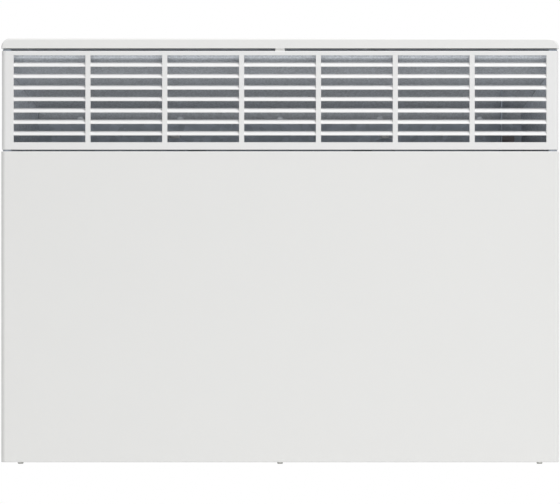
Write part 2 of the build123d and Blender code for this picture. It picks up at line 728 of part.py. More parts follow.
def casing_shell():
    """The folded back before anything is cut in it: back, top, floor and bottom return."""
    path = [
        (CASING_FRONT_Y + CASING_TOP_SETBACK, CASING_Z1),
        (BACK_Y, CASING_Z1),
        (BACK_Y, CASING_Z0),
        (CASING_FRONT_Y, CASING_Z0),
        (CASING_FRONT_Y, CASING_Z0 + CASING_RETURN),
    ]
    shell = on_yz(bent_strip(path, FLOOR_BEND, SHEET, Side.RIGHT), -INNER_X, INNER_X)
    front, front_end = CASING_FRONT_Y - SHEET, CASING_FRONT_Y + EDGE_BEND + SEAT
    rear_start, rear = BACK_Y + SHEET - REAR_BEND - SEAT, BACK_Y + SHEET
    rear_x = CASING_X - REAR_BEND - SEAT
    notches = []
    for side in (-1, 1):
        x0, x1 = sorted((side * RETURN_HALF, side * CASING_X))
        notches.append(block(x0, x1, front, front_end, 0.0, HEIGHT))
        x0, x1 = sorted((side * rear_x, side * CASING_X))
        notches.append(block(x0, x1, rear_start, rear, 0.0, HEIGHT))
    return shell.cut(*notches)


def make_casing_end():
    """The right-hand end sheet: front return, side wall and a flange riveted to the back."""
    outer_y = BACK_Y + SHEET
    path = [
        (CASING_X - CASING_RETURN, CASING_FRONT_Y),
        (CASING_X, CASING_FRONT_Y),
        (CASING_X, outer_y),
        (CASING_X - END_FLANGE, outer_y),
    ]
    plan = bent_strip(path, (EDGE_BEND, REAR_BEND), SHEET, Side.LEFT)
    sheet = Pos(0, 0, CASING_Z0) * extrude(plan, CASING_Z1 - CASING_Z0)
    return drill_for_rivets(sheet)


def make_rear_casing():
    """The back of the heater, folded forward into a top and a floor, open at the front."""
    casing = casing_shell()
    length = WIDTH - 2 * BEAD_END
    for z in (MOUNT_HEIGHT + LOWER_BEAD, MOUNT_HEIGHT + UPPER_BEAD):
        casing += bead(length + 2 * SHEET, BEAD_WIDTH + 2 * SHEET, BEAD_DEPTH, INNER_BACK_Y, z)
        casing -= bead(length, BEAD_WIDTH, BEAD_DEPTH, BACK_Y, z)
    under_top = CASING_Z1 - 2 * SHEET
    over_floor = CASING_Z0 + 2 * SHEET
    cuts = [
        inlet_window(0.0, CASING_Z0 - SHEET, over_floor),
        well_block(-SEAT, under_top, CASING_Z1 + SHEET, WELL_CORNER),
        hook_slot(-HOOK_X), hook_slot(HOOK_X),
        latch_slot(-LATCH_X, -1), latch_slot(LATCH_X, 1),
    ]
    gland_hole = GLAND_BODY_RADIUS + RUNNING_FIT
    front, rear = INNER_BACK_Y - SHEET, BACK_Y + SHEET
    cuts.append(rod_along_y(gland_hole, GLAND_X, front, rear, GLAND_HEIGHT))
    for x, y in front_screw_places():
        cuts.append(upright_rod(SCREW_RADIUS + SEAT, x, y, 0.0, over_floor))
    for x, y in cap_boss_places():
        cuts.append(upright_rod(SCREW_RADIUS + SEAT, x, y, under_top, CAP_Z0))
    return drill_for_rivets(casing.cut(*cuts))


def make_top_cap():
    """The moulded cap: round shoulders, a hollow underside with ribs and screw bosses."""
    body = block(-HALF_WIDTH, HALF_WIDTH, FRONT_Y, BACK_Y, CAP_Z0, HEIGHT)
    body = fillet(body.edges().filter_by(Axis.Y).group_by(Axis.Z)[-1], CAP_CORNER)
    front_rim = body.edges().group_by(Axis.Y)[0]
    upper_rim = front_rim.filter_by(lambda edge: edge.center().Z > CAP_Z0 + RUNNING_FIT)
    body = fillet(upper_rim, CAP_FRONT_ROUND)
    inside = HALF_WIDTH - CAP_WALL
    front, rear = FRONT_Y + CAP_WALL, BACK_Y - CAP_WALL
    hollow = block(-inside, inside, front, rear, CAP_Z0 - CAP_WALL, CAP_CEILING)
    shoulders = hollow.edges().filter_by(Axis.Y).group_by(Axis.Z)[-1]
    cap = body - fillet(shoulders, CAP_CORNER - CAP_WALL)
    additions = []
    for x, y in cap_boss_places():
        additions.append(upright_rod(CAP_BOSS_RADIUS, x, y, CASING_Z1, CAP_CEILING))
    half_rib = CAP_RIB / 2
    for x in CAP_BOSS_X:
        additions.append(block(x - half_rib, x + half_rib, front, rear, CAP_Z0, CAP_CEILING))
    cap = cap.fuse(*additions)
    pilot_end = CAP_CEILING - CAP_WALL
    for x, y in cap_boss_places():
        cap -= upright_rod(SCREW_RADIUS + RUNNING_FIT, x, y, CASING_Z1 - SHEET, pilot_end)
    return cap - well_block(0.0, pilot_end, HEIGHT + CAP_WALL, WELL_CORNER)


def make_seam_clip():
    """The small clip in the middle of the seam that holds the cap's front edge down."""
    half = CLIP_WIDTH / 2
    front = FRONT_Y + SHEET
    foot = block(-half, half, front, FRONT_Y + CLIP_REACH, GRILLE_Z1, GRILLE_Z1 + SHEET)
    riser = block(-half, half, front, front + CLIP_WALL, GRILLE_Z1, CAP_Z0)
    clip = foot + riser
    return fillet(clip.edges().filter_by(Axis.Y).group_by(Axis.Z)[-1], CLIP_ROUND)


def make_inlet_grille():
    """The finger guard over the bottom inlet, with two rows of slots."""
    z0 = CASING_Z0 + SHEET
    guard = inlet_window(INLET_RIM - SEAT, z0, z0 + SHEET)
    half = CASING_X - INLET_SIDE
    front, rear = FRONT_Y + INLET_FRONT, BACK_Y - INLET_REAR
    rows = ((front, (front + rear - INLET_RIB) / 2), ((front + rear + INLET_RIB) / 2, rear))
    count = int((2 * half - INLET_SLOT_WIDTH) // INLET_SLOT_PITCH) + 1
    first = -(count - 1) * INLET_SLOT_PITCH / 2
    cuts = []
    for index in range(count):
        left = first + index * INLET_SLOT_PITCH - INLET_SLOT_WIDTH / 2
        for y0, y1 in rows:
            cuts.append(block(left, left + INLET_SLOT_WIDTH, y0, y1, z0 - SHEET, z0 + 2 * SHEET))
    return guard.cut(*cuts)


# ---- Warm-air space ----
def hood_section(thickness):
    """The bent section of the hood, from its front lip down to its flange on the back."""
    path = [
        (HOOD_FRONT_Y, HOOD_TOP),
        (HOOD_FRONT_Y, HOOD_FRONT_Z),
        (INNER_BACK_Y, HOOD_REAR_Z),
        (INNER_BACK_Y, HOOD_LOW),
    ]
    return bent_strip(path, (HOOD_LIP / 2, HOOD_BEND), thickness, Side.RIGHT)


def below_hood(plate):
    """What is left of an upright plate once it is trimmed to pass just under the hood."""
    swept = on_yz(hood_section(GALVANISED + SEAT), -HALF_WIDTH, HALF_WIDTH)
    return (plate - swept).solids().sort_by(Axis.Z)[0]


def make_heat_deflector():
    """The hood: a galvanised sheet sloping from the back up to the top of the louvres."""
    sheet = on_yz(hood_section(GALVANISED), -INNER_X, INNER_X)
    outline = Polyline(
        (-CHEEK_REAR_X, INNER_BACK_Y), (CHEEK_REAR_X, INNER_BACK_Y),
        (CHEEK_FRONT_X, CHEEK_FRONT_Y), (CHEEK_FRONT_X, FRONT_Y),
        (-CHEEK_FRONT_X, FRONT_Y), (-CHEEK_FRONT_X, CHEEK_FRONT_Y), close=True,
    )
    plan = extrude(make_face(outline), HEIGHT)
    return drill_for_rivets(sheet & plan)


def make_side_deflector():
    """The slanted plate that closes the right-hand end of the warm-air space."""
    path = [
        (CHEEK_REAR_X + CHEEK_FLANGE, INNER_BACK_Y),
        (CHEEK_REAR_X, INNER_BACK_Y),
        (CHEEK_FRONT_X, CHEEK_FRONT_Y),
        (CHEEK_FRONT_X, CHEEK_FRONT_Y - CHEEK_FRONT_FLANGE),
    ]
    bend = 2 * GALVANISED
    plan = bent_strip(path, (bend, bend), GALVANISED, Side.LEFT)
    plate = Pos(0, 0, CHEEK_LOW) * extrude(plan, HOOD_TOP - CHEEK_LOW)
    return drill_for_rivets(below_hood(plate))


def make_partition():
    """The wall of the electrical compartment, flanged to the back and stepped under the hood."""
    left, right = PARTITION_X, PARTITION_X + SHEET
    bottom = CASING_Z0 + 2 * SHEET + SEAT
    front = CASING_FRONT_Y + SHEET + SEAT
    shoulder = PANEL_Z1 - FRONT_SHEET - SEAT
    wall = block(left, right, front, INNER_BACK_Y, bottom, shoulder)
    upper_front = INNER_BACK_Y - PARTITION_UPPER_DEPTH
    wall += block(left, right, upper_front, INNER_BACK_Y, bottom, HEIGHT)
    wall = below_hood(wall)
    flange = block(
        left, right + PARTITION_FLANGE, INNER_BACK_Y - SHEET, INNER_BACK_Y,
        bottom, HOOD_LOW - SEAT,
    )
    fold_reach = left + PARTITION_FLANGE / 2
    front_fold = block(left, fold_reach, front, front + SHEET, bottom, shoulder)
    wall = wall.fuse(flange, front_fold)
    nose = CUTOUT_RADIUS - CUTOUT_SILL + RUNNING_FIT
    wall -= rod_along_x(nose, left - SHEET, right + SHEET, CUTOUT_Y, CUTOUT_HEIGHT)
    wall -= rod_along_x(LEAD_HOLE_RADIUS, left - SHEET, right + SHEET, ROD_Y, ELEMENT_HEIGHT)
    return drill_for_rivets(wall)


def make_thermal_cutout():
    """The disc cut-out that senses the warm air through a hole in the partition."""
    x = PARTITION_X + SHEET
    outer_x = x + CUTOUT_LENGTH
    disc = rod_along_x(CUTOUT_RADIUS, x, outer_x, CUTOUT_Y, CUTOUT_HEIGHT)
    nose = rod_along_x(CUTOUT_RADIUS - CUTOUT_SILL, x - SHEET, x, CUTOUT_Y, CUTOUT_HEIGHT)
    ear = CUTOUT_RADIUS + CUTOUT_EAR
    flange = block(
        x, x + SHEET, CUTOUT_Y - ear, CUTOUT_Y + ear,
        CUTOUT_HEIGHT - CUTOUT_EAR, CUTOUT_HEIGHT + CUTOUT_EAR,
    )
    flange = fillet(flange.edges().filter_by(Axis.X), CUTOUT_EAR_ROUND)
    blades = []
    low, high = CUTOUT_HEIGHT - BLADE_WIDTH / 2, CUTOUT_HEIGHT + BLADE_WIDTH / 2
    for y in (CUTOUT_Y - BLADE_SPREAD / 2, CUTOUT_Y + BLADE_SPREAD / 2):
        front, rear = y - BLADE_THICKNESS / 2, y + BLADE_THICKNESS / 2
        blades.append(block(outer_x, outer_x + BLADE_LENGTH, front, rear, low, high))
    return disc.fuse(nose, flange, *blades)


# ---- Heating element and what carries it ----
def element_section():
    """The cross-shaped section of the element: four wings with cooling fins on a round core."""
    section = Circle(CORE_RADIUS)
    wing = Pos(WING_LENGTH / 2, 0) * Rectangle(WING_LENGTH, WING_THICKNESS)
    tip = Pos(WING_LENGTH, 0) * Circle(WING_TIP)
    fin_pitch = (WING_LENGTH - CORE_RADIUS) / (FIN_COUNT + 0.5)
    fins = []
    for index in range(FIN_COUNT):
        out = CORE_RADIUS + (index + 0.9) * fin_pitch
        reach = min(FIN_LENGTH, (out - CORE_RADIUS) / 2)
        fins.append(Pos(out, 0) * Rectangle(FIN_THICKNESS, WING_THICKNESS + 2 * reach))
    wing = wing + tip + fins
    for turn in (WING_ANGLE, 180 - WING_ANGLE, 180 + WING_ANGLE, 360 - WING_ANGLE):
        section += Rot(0, 0, turn) * wing
    return section - Circle(ROD_RADIUS + ROD_FIT)


def make_heating_element():
    """The extruded aluminium element, in the middle of the air path."""
    body = on_yz(element_section(), ELEMENT_LEFT, ELEMENT_RIGHT)
    return Pos(0, ROD_Y, ELEMENT_HEIGHT) * body


def make_heating_rod():
    """The sheathed rod inside the element, with a terminal pin at each end."""
    left, right = ELEMENT_LEFT - ROD_OVERHANG, ELEMENT_RIGHT + ROD_OVERHANG
    sheath = rod_along_x(ROD_RADIUS, left, right, ROD_Y, ELEMENT_HEIGHT)
    pins = rod_along_x(PIN_RADIUS, left - PIN_LENGTH, right + PIN_LENGTH, ROD_Y, ELEMENT_HEIGHT)
    return sheath + pins


def make_element_bushes():
    """Ceramic bushes that carry the rod in its end brackets."""
    bore = ROD_RADIUS + ROD_FIT
    profile = Polyline(
        (bore, 0.0), (BUSH_SHOULDER_RADIUS, 0.0),
        (BUSH_SHOULDER_RADIUS, BUSH_SHOULDER), (BUSH_RADIUS, BUSH_SHOULDER),
        (BUSH_RADIUS, BUSH_LENGTH), (bore, BUSH_LENGTH), close=True,
    )
    bush = revolve(Plane.XZ * make_face(profile), Axis.Z)
    left = Plane(origin=(ELEMENT_LEFT - SEAT, ROD_Y, ELEMENT_HEIGHT), z_dir=(-1, 0, 0)) * bush
    right = Plane(origin=(ELEMENT_RIGHT + SEAT, ROD_Y, ELEMENT_HEIGHT), z_dir=(1, 0, 0)) * bush
    return Compound(children=[left, right])


def make_element_bracket(plate_x, outward):
    """A flanged steel plate that carries one end of the element off the back of the casing."""
    half = BRACKET_WIDTH / 2
    path = [
        (plate_x, ROD_Y - half),
        (plate_x, INNER_BACK_Y),
        (plate_x + outward * (BRACKET_SHEET + BRACKET_FLANGE), INNER_BACK_Y),
    ]
    side = Side.RIGHT if outward > 0 else Side.LEFT
    plan = bent_strip(path, BRACKET_SHEET, BRACKET_SHEET, side)
    plate = Pos(0, 0, ELEMENT_HEIGHT - half) * extrude(plan, BRACKET_WIDTH)
    front_corners = plate.edges().filter_by(Axis.X).group_by(Axis.Y)[0]
    plate = fillet(front_corners, BRACKET_ROUND)
    left, right = plate_x - 2 * BRACKET_SHEET, plate_x + 2 * BRACKET_SHEET
    plate -= rod_along_x(BUSH_RADIUS + ROD_FIT, left, right, ROD_Y, ELEMENT_HEIGHT)
    return drill_for_rivets(plate)


def make_hanger(x):
    """A strap from the back over the element, ending in a round upright tongue."""
    path = [
        (INNER_BACK_Y, HANGER_ARM - HANGER_FOOT),
        (INNER_BACK_Y, HANGER_ARM + BRACKET_SHEET),
        (HANGER_TONGUE_Y, HANGER_ARM + BRACKET_SHEET),
        (HANGER_TONGUE_Y, HANGER_TOP),
    ]
    half = HANGER_WIDTH / 2
    through = 2 * BRACKET_SHEET
    section = bent_strip(path, BRACKET_SHEET, BRACKET_SHEET, Side.LEFT)
    strap = on_yz(section, x - half, x + half)
    top_corners = strap.edges().filter_by(Axis.Y).group_by(Axis.Z)[-1]
    strap = fillet(top_corners, half - HANGER_CROWN_FLAT)
    eye_z = HANGER_TOP - half + HANGER_EYE_RISE
    front, rear = HANGER_TONGUE_Y - through, HANGER_TONGUE_Y + through
    strap -= rod_along_y(HANGER_HOLE, x, front, rear, eye_z)
    strap -= upright_rod(SCREW_RADIUS + SEAT, x, ROD_Y, HANGER_ARM - through, HANGER_ARM + through)
    return drill_for_rivets(strap)


def make_hanger_insulators():
    """Ceramic posts between the element's core and the hangers, each with a pilot hole."""
    foot = ELEMENT_HEIGHT + CORE_RADIUS + ROD_FIT
    posts = []
    for x in (-HANGER_X, HANGER_X):
        post = upright_rod(INSULATOR_RADIUS, x, ROD_Y, foot, HANGER_ARM)
        pilot = SCREW_RADIUS + RUNNING_FIT
        posts.append(post - upright_rod(pilot, x, ROD_Y, HANGER_ARM - PILOT_DEPTH, HANGER_ARM))
    return Compound(children=posts)


def make_hanger_screws():
    """A screw down through each hanger into its ceramic post."""
    under = HANGER_ARM + BRACKET_SHEET
    tip = HANGER_ARM - PILOT_DEPTH + PILOT_END_GAP
    return Compound(
        children=[screw((x, ROD_Y, under), (x, ROD_Y, tip)) for x in (-HANGER_X, HANGER_X)]
    )


# ---- Controls ----
def board_posts():
    """Where the control board hangs from the floor of the well."""
    reach = BOARD_DEPTH / 2 - POST_INSET
    xs = (BOARD_LEFT + POST_INSET, BOARD_RIGHT - POST_INSET)
    return [(x, y) for x in xs for y in (CONTROL_Y - reach, CONTROL_Y + reach)]


def make_control_fascia():
    """The moulded control well: walls, floor with its cut-outs, rim, feet and board posts."""
    outer = well_block(-SEAT, WELL_FLOOR_Z, FASCIA_TOP, WELL_CORNER - SEAT)
    shrink = SEAT + WELL_WALL
    inner = well_block(-shrink, FLOOR_TOP, HEIGHT + WELL_WALL, WELL_CORNER - shrink)
    rim_low = FASCIA_RIM_TOP - FASCIA_RIM_THICKNESS
    additions = [well_block(FASCIA_RIM, rim_low, FASCIA_RIM_TOP, WELL_CORNER)]
    half_foot = FASCIA_FOOT_WIDTH / 2
    for x in (WELL_LEFT - FASCIA_RIM, WELL_RIGHT):
        for y in (CONTROL_Y - FASCIA_FOOT_SPACING / 2, CONTROL_Y + FASCIA_FOOT_SPACING / 2):
            front, rear = y - half_foot, y + half_foot
            additions.append(block(x, x + FASCIA_RIM, front, rear, CASING_Z1, FASCIA_RIM_TOP))
    fascia = outer.fuse(*additions) - inner
    posts = [upright_rod(POST_RADIUS, x, y, BOARD_TOP, WELL_FLOOR_Z) for x, y in board_posts()]
    fascia = fascia.fuse(*posts)
    low, high = WELL_FLOOR_Z - LOOSE_FIT, FLOOR_TOP + LOOSE_FIT
    cuts = [upright_rod(SPINDLE_RADIUS + LOOSE_FIT, KNOB_X, CONTROL_Y, low, high)]
    cuts.append(upright_rod(LENS_RADIUS + RUNNING_FIT, SLIDER_X, LENS_Y, low, high))
    half_x = (SLIDER_TRAVEL + SLIDER_STEM) / 2 + SEAT
    half_y = SLIDER_STEM / 2 + SEAT
    cuts.append(control_block(SLIDER_X, half_x, half_y, low, high))
    half_x = CAVITY_X + SWITCH_WALL + RUNNING_FIT
    half_y = CAVITY_Y + SWITCH_WALL + RUNNING_FIT
    cuts.append(control_block(ROCKER_X, half_x, half_y, low, high))
    return fascia.cut(*cuts)


def control_block(x, half_x, half_y, z0, z1):
    """A block centred across the control well."""
    return block(x - half_x, x + half_x, CONTROL_Y - half_y, CONTROL_Y + half_y, z0, z1)


def make_control_board():
    """The control board with its potentiometer, slide switch, lamp, relay and capacitor."""
    half_depth = BOARD_DEPTH / 2
    front, rear = CONTROL_Y - half_depth, CONTROL_Y + half_depth
    board = block(BOARD_LEFT, BOARD_RIGHT, front, rear, BOARD_Z, BOARD_TOP)
    dial = upright_rod(DIAL_SEAT_RADIUS, KNOB_X, CONTROL_Y, BOARD_TOP, WELL_FLOOR_Z - SEAT)
    bore = upright_rod(SPINDLE_RADIUS + RUNNING_FIT, KNOB_X, CONTROL_Y, BOARD_TOP, HEIGHT)
    half_slide = SLIDER_TRAVEL / 2 + SLIDER_STEM + LOOSE_FIT
    slide_top = SLIDER_FOOT_Z - SEAT
    slide = control_block(SLIDER_X, half_slide, SLIDE_BODY_DEPTH / 2, BOARD_TOP, slide_top)
    lamp = upright_rod(LAMP_RADIUS, SLIDER_X, LENS_Y, BOARD_TOP, LENS_FOOT_Z - SEAT)
    relay_x = BOARD_LEFT + RELAY_INSET
    relay_y = CONTROL_Y - RELAY_FRONT
    relay = block(
        relay_x, relay_x + RELAY_SIZE, relay_y, relay_y + RELAY_SIZE,
        BOARD_TOP, WELL_FLOOR_Z - RELAY_GAP,
    )
    capacitor_x = BOARD_LEFT + CAPACITOR_INSET
    capacitor_y = CONTROL_Y - CAPACITOR_FRONT
    capacitor_top = WELL_FLOOR_Z - CAPACITOR_GAP
    capacitor = upright_rod(CAPACITOR_RADIUS, capacitor_x, capacitor_y, BOARD_TOP, capacitor_top)
    return board.fuse(dial, slide, lamp, relay, capacitor) - bore


def make_indicator_lens():
    """The domed lens of the heating lamp."""
    shank = upright_rod(LENS_RADIUS, SLIDER_X, LENS_Y, LENS_FOOT_Z, FLOOR_TOP + LENS_RISE)
    return fillet(shank.edges().group_by(Axis.Z)[-1], LENS_DOME)


def make_thermostat_knob():
    """The fluted thermostat knob with a raised pointer and a socket for its spindle."""
    foot = KNOB_Z
    top = foot + KNOB_HEIGHT
    knob = upright_rod(KNOB_RADIUS, 0, 0, foot, top)
    knob = fillet(knob.edges().group_by(Axis.Z)[-1], KNOB_ROUND)
    reach = KNOB_RADIUS + FLUTE_RADIUS - FLUTE_BITE
    flutes = []
    for index in range(KNOB_FLUTES):
        angle = math.radians(index * 360 / KNOB_FLUTES)
        x, y = reach * math.cos(angle), reach * math.sin(angle)
        flutes.append(upright_rod(FLUTE_RADIUS, x, y, foot + KNOB_HOLLOW, top + LOOSE_FIT))
    knob = knob.cut(*flutes)
    dish = Pos(0, 0, top + KNOB_DISH_RADIUS - KNOB_DISH_DEPTH) * Sphere(KNOB_DISH_RADIUS)
    half = POINTER_WIDTH / 2
    pointer_top = top - POINTER_SINK
    pointer = block(
        -half, half, KNOB_WALL - KNOB_RADIUS, -POINTER_INNER,
        pointer_top - POINTER_DEPTH, pointer_top,
    )
    knob = knob - dish + pointer
    knob -= upright_rod(KNOB_RADIUS - KNOB_WALL, 0, 0, foot, foot + KNOB_HOLLOW)
    knob += upright_rod(SPINDLE_RADIUS + KNOB_WALL, 0, 0, foot, foot + KNOB_WALL)
    socket_top = SPINDLE_TOP + RUNNING_FIT
    knob -= upright_rod(SPINDLE_RADIUS + RUNNING_FIT, 0, 0, foot - LOOSE_FIT, socket_top)
    return Pos(KNOB_X, CONTROL_Y, 0) * knob


def make_knob_spindle():
    """The flatted spindle that joins the knob to the potentiometer."""
    spindle = upright_rod(SPINDLE_RADIUS, 0, 0, BOARD_TOP + SEAT, SPINDLE_TOP)
    flat = block(-SPINDLE_RADIUS, SPINDLE_RADIUS, SPINDLE_FLAT, 2 * SPINDLE_RADIUS, KNOB_Z, HEIGHT)
    return Pos(KNOB_X, CONTROL_Y, 0) * (spindle - flat)


def make_mode_slider():
    """The mode slider: a ridged cap, a stem through the floor and a foot beneath it."""
    x = SLIDER_REST_X
    z0 = FLOOR_TOP + SEAT
    z1 = z0 + SLIDER_CAP_HEIGHT
    cap = control_block(x, SLIDER_CAP_X / 2, SLIDER_CAP_Y / 2, z0, z1)
    cap = chamfer(cap.faces().sort_by(Axis.Z)[-1].edges(), SLIDER_CAP_BEVEL)
    half = SLIDER_GROOVE_WIDTH / 2
    floor = z1 - SLIDER_GROOVE_WIDTH
    grooves = []
    for groove_x in (x - SLIDER_GROOVE_PITCH, x, x + SLIDER_GROOVE_PITCH):
        grooves.append(control_block(groove_x, half, SLIDER_CAP_Y / 2, floor, z1 + LOOSE_FIT))
    cap = cap.cut(*grooves)
    stem = control_block(x, SLIDER_STEM / 2, SLIDER_STEM / 2, SLIDER_FOOT_Z, z0)
    half_foot = SLIDER_FOOT_WIDTH / 2
    foot = control_block(x, half_foot, half_foot, SLIDER_FOOT_Z, SLIDER_FOOT_Z + SLIDER_FOOT)
    return cap.fuse(stem, foot)


def make_switch_body():
    """The on/off switch: a bezel on the floor, a walled cavity and two blade terminals."""
    half_x, half_y = CAVITY_X + SWITCH_WALL, CAVITY_Y + SWITCH_WALL
    bottom = FLOOR_TOP - SWITCH_DEPTH
    body = block(-half_x, half_x, -half_y, half_y, bottom, FLOOR_TOP)
    lap_x, lap_y = half_x + BEZEL_LAP, half_y + BEZEL_LAP
    bezel_top = FLOOR_TOP + BEZEL_HEIGHT
    bezel = upright_block(-lap_x, lap_x, -lap_y, lap_y, FLOOR_TOP, bezel_top, BEZEL_LAP)
    cavity_low = PIVOT_Z - SWITCH_CAVITY
    cavity = block(-CAVITY_X, CAVITY_X, -CAVITY_Y, CAVITY_Y, cavity_low, HEIGHT)
    pivot_y = half_y - PIVOT_SKIN
    pivot = rod_along_y(PIVOT_RADIUS + RUNNING_FIT, 0, -pivot_y, pivot_y, PIVOT_Z)
    body = body.fuse(bezel) - cavity - pivot
    half, reach = BLADE_THICKNESS / 2, BLADE_WIDTH / 2
    blades = []
    for x in (-BLADE_SPREAD / 2, BLADE_SPREAD / 2):
        blades.append(block(x - half, x + half, -reach, reach, bottom - BLADE_LENGTH, bottom))
    return Pos(ROCKER_X, CONTROL_Y, 0) * body.fuse(*blades)


def make_power_rocker():
    """The rocker, resting with its right-hand end pressed in."""
    reach = ROCKER_LENGTH / 2 + ROCKER_GAP
    crest_x = math.sqrt(reach ** 2 - ROCKER_CREST ** 2)
    skirt_x = math.sqrt(reach ** 2 - ROCKER_SKIRT ** 2)
    tail_x = ROCKER_TAIL_WIDTH / 2
    waist = (0.0, ROCKER_WAIST)
    left_crest, right_crest = (-crest_x, ROCKER_CREST), (crest_x, ROCKER_CREST)
    left_skirt, right_skirt = (-skirt_x, -ROCKER_SKIRT), (skirt_x, -ROCKER_SKIRT)
    left_tail, right_tail = (-tail_x, -ROCKER_TAIL), (tail_x, -ROCKER_TAIL)
    outline = [
        Line(left_crest, waist), Line(waist, right_crest),
        ThreePointArc(right_crest, (reach, 0.0), right_skirt),
        Line(right_skirt, right_tail), Line(right_tail, left_tail), Line(left_tail, left_skirt),
        ThreePointArc(left_skirt, (-reach, 0.0), left_crest),
    ]
    half = ROCKER_WIDTH / 2
    section = Plane.XZ * make_face(outline)
    rocker = Pos(0, half, 0) * extrude(section, ROCKER_WIDTH)
    rocker += rod_along_y(PIVOT_RADIUS, 0, -half - PIVOT_REACH, half + PIVOT_REACH, 0)
    rocker = Rot(0, ROCKER_SWING / 2, 0) * rocker
    return Pos(ROCKER_X, CONTROL_Y, PIVOT_Z) * rocker


# ---- Wiring side ----
def make_cord_gland():
    """The gland in the back of the casing that the supply lead would pass through."""
    outside = BACK_Y + GLAND_PROUD
    inside = outside - GLAND_LENGTH
    profile = Polyline(
        (GLAND_BORE_RADIUS, outside), (GLAND_FLANGE_RADIUS - GLAND_BEVEL, outside),
        (GLAND_FLANGE_RADIUS, outside - GLAND_BEVEL), (GLAND_FLANGE_RADIUS, BACK_Y),
        (GLAND_BODY_RADIUS, BACK_Y), (GLAND_BODY_RADIUS, INNER_BACK_Y),
        (GLAND_FLANGE_RADIUS, INNER_BACK_Y), (GLAND_FLANGE_RADIUS, INNER_BACK_Y - GLAND_FLANGE),
        (GLAND_BODY_RADIUS, inside), (GLAND_BORE_RADIUS, inside), close=True,
    )
    gland = revolve(make_face(profile), Axis.Y)
    return Pos(GLAND_X, 0, GLAND_HEIGHT) * gland


def terminal_way_x(way):
    """The middle of one way of the terminal block, counted from the left."""
    return TERMINAL_X + (way - (TERMINAL_WAYS - 1) / 2) * TERMINAL_PITCH


def make_terminal_block():
    """The moulded terminal block: each way has a wire funnel at each end and a screw well."""
    half = TERMINAL_WAYS * TERMINAL_PITCH / 2
    half_base, half_way = TERMINAL_BASE_HEIGHT / 2, TERMINAL_WAY_HEIGHT / 2
    step_y = INNER_BACK_Y - TERMINAL_BASE_DEPTH
    z = TERMINAL_HEIGHT
    base = block(
        TERMINAL_X - half, TERMINAL_X + half, step_y, INNER_BACK_Y,
        z - half_base, z + half_base,
    )
    additions, cuts = [], []
    half_width = TERMINAL_WAY_WIDTH / 2
    for way in range(TERMINAL_WAYS):
        x = terminal_way_x(way)
        left, right = x - half_width, x + half_width
        additions.append(block(left, right, TERMINAL_FRONT_Y, step_y, z - half_way, z + half_way))
        cuts.append(upright_rod(LEAD_RADIUS + RUNNING_FIT, x, FUNNEL_Y, z - half_way, z + half_way))
        cuts.append(upright_rod(FUNNEL_RADIUS, x, FUNNEL_Y, z + half_way - FUNNEL_MOUTH, z + half_base))
        cuts.append(upright_rod(FUNNEL_RADIUS, x, FUNNEL_Y, z - half_base, z - half_way + FUNNEL_MOUTH))
        cuts.append(rod_along_y(SCREW_WELL_RADIUS, x, TERMINAL_FRONT_Y - SHEET, FUNNEL_Y, z))
    return base.fuse(*additions).cut(*cuts)


def make_supply_leads():
    """The live and neutral leads, from the terminals up behind the cheek to the board."""
    leads = []
    start_z = TERMINAL_HEIGHT + TERMINAL_WAY_HEIGHT / 2 - FUNNEL_MOUTH - LEAD_RADIUS
    channel_y = INNER_BACK_Y - LEAD_FORWARD
    board_y = CONTROL_Y + BOARD_DEPTH / 2 - LEAD_BOARD_REAR
    turn_z = CHEEK_LOW - LEAD_TURN_BELOW
    for index in range(LEAD_COUNT):
        x = terminal_way_x(index)
        channel_x = HALF_WIDTH - LEAD_INSET + index * LEAD_SPACING
        board_x = BOARD_RIGHT - LEAD_BOARD_INSET + index * LEAD_SPACING
        over_z = BOARD_Z - LEAD_UNDER_BOARD + index * LEAD_SPACING
        path = FilletPolyline(
            (x, FUNNEL_Y, start_z), (x, FUNNEL_Y, turn_z),
            (channel_x, channel_y, CHEEK_LOW), (channel_x, channel_y, over_z),
            (board_x, board_y, over_z), (board_x, board_y, BOARD_Z), radius=LEAD_BEND,
        )
        end = Plane(origin=(x, FUNNEL_Y, start_z), z_dir=(0, 0, 1))
        leads.append(sweep(end * Circle(LEAD_RADIUS), path=path))
    return Compound(children=leads)


def make_earth_stud():
    """The earth stud with its nut, on the back of the casing."""
    tip = INNER_BACK_Y - EARTH_LENGTH
    stud = rod_along_y(EARTH_RADIUS, EARTH_X, tip, INNER_BACK_Y, EARTH_HEIGHT)
    nut_face = (EARTH_X, INNER_BACK_Y - EARTH_NUT_HEIGHT, EARTH_HEIGHT)
    place = Plane(origin=nut_face, z_dir=(0, 1, 0))
    return stud + place * extrude(RegularPolygon(EARTH_NUT_RADIUS, 6), EARTH_NUT_HEIGHT)


def make_sensor_clip():
    """The clip that holds the room sensor in the incoming air."""
    seat, x = SENSOR_SEAT_Z, SENSOR_X
    axis_z = seat + SENSOR_RISE
    half_x, half_y = SENSOR_FOOT_LENGTH / 2, SENSOR_FOOT_WIDTH / 2
    foot_top = seat + SENSOR_FOOT_THICKNESS
    foot = block(x - half_x, x + half_x, SENSOR_Y - half_y, SENSOR_Y + half_y, seat, foot_top)
    left, right = x - SENSOR_CLIP_WIDTH / 2, x + SENSOR_CLIP_WIDTH / 2
    front, rear = SENSOR_Y - SENSOR_CLIP_POST / 2, SENSOR_Y + SENSOR_CLIP_POST / 2
    post = block(left, right, front, rear, seat, axis_z - SENSOR_RADIUS)
    bore = SENSOR_RADIUS + RUNNING_FIT
    ring = rod_along_x(bore + SENSOR_CLIP_WALL, left, right, SENSOR_Y, axis_z)
    return foot.fuse(post, ring) - rod_along_x(bore, left - SHEET, right + SHEET, SENSOR_Y, axis_z)


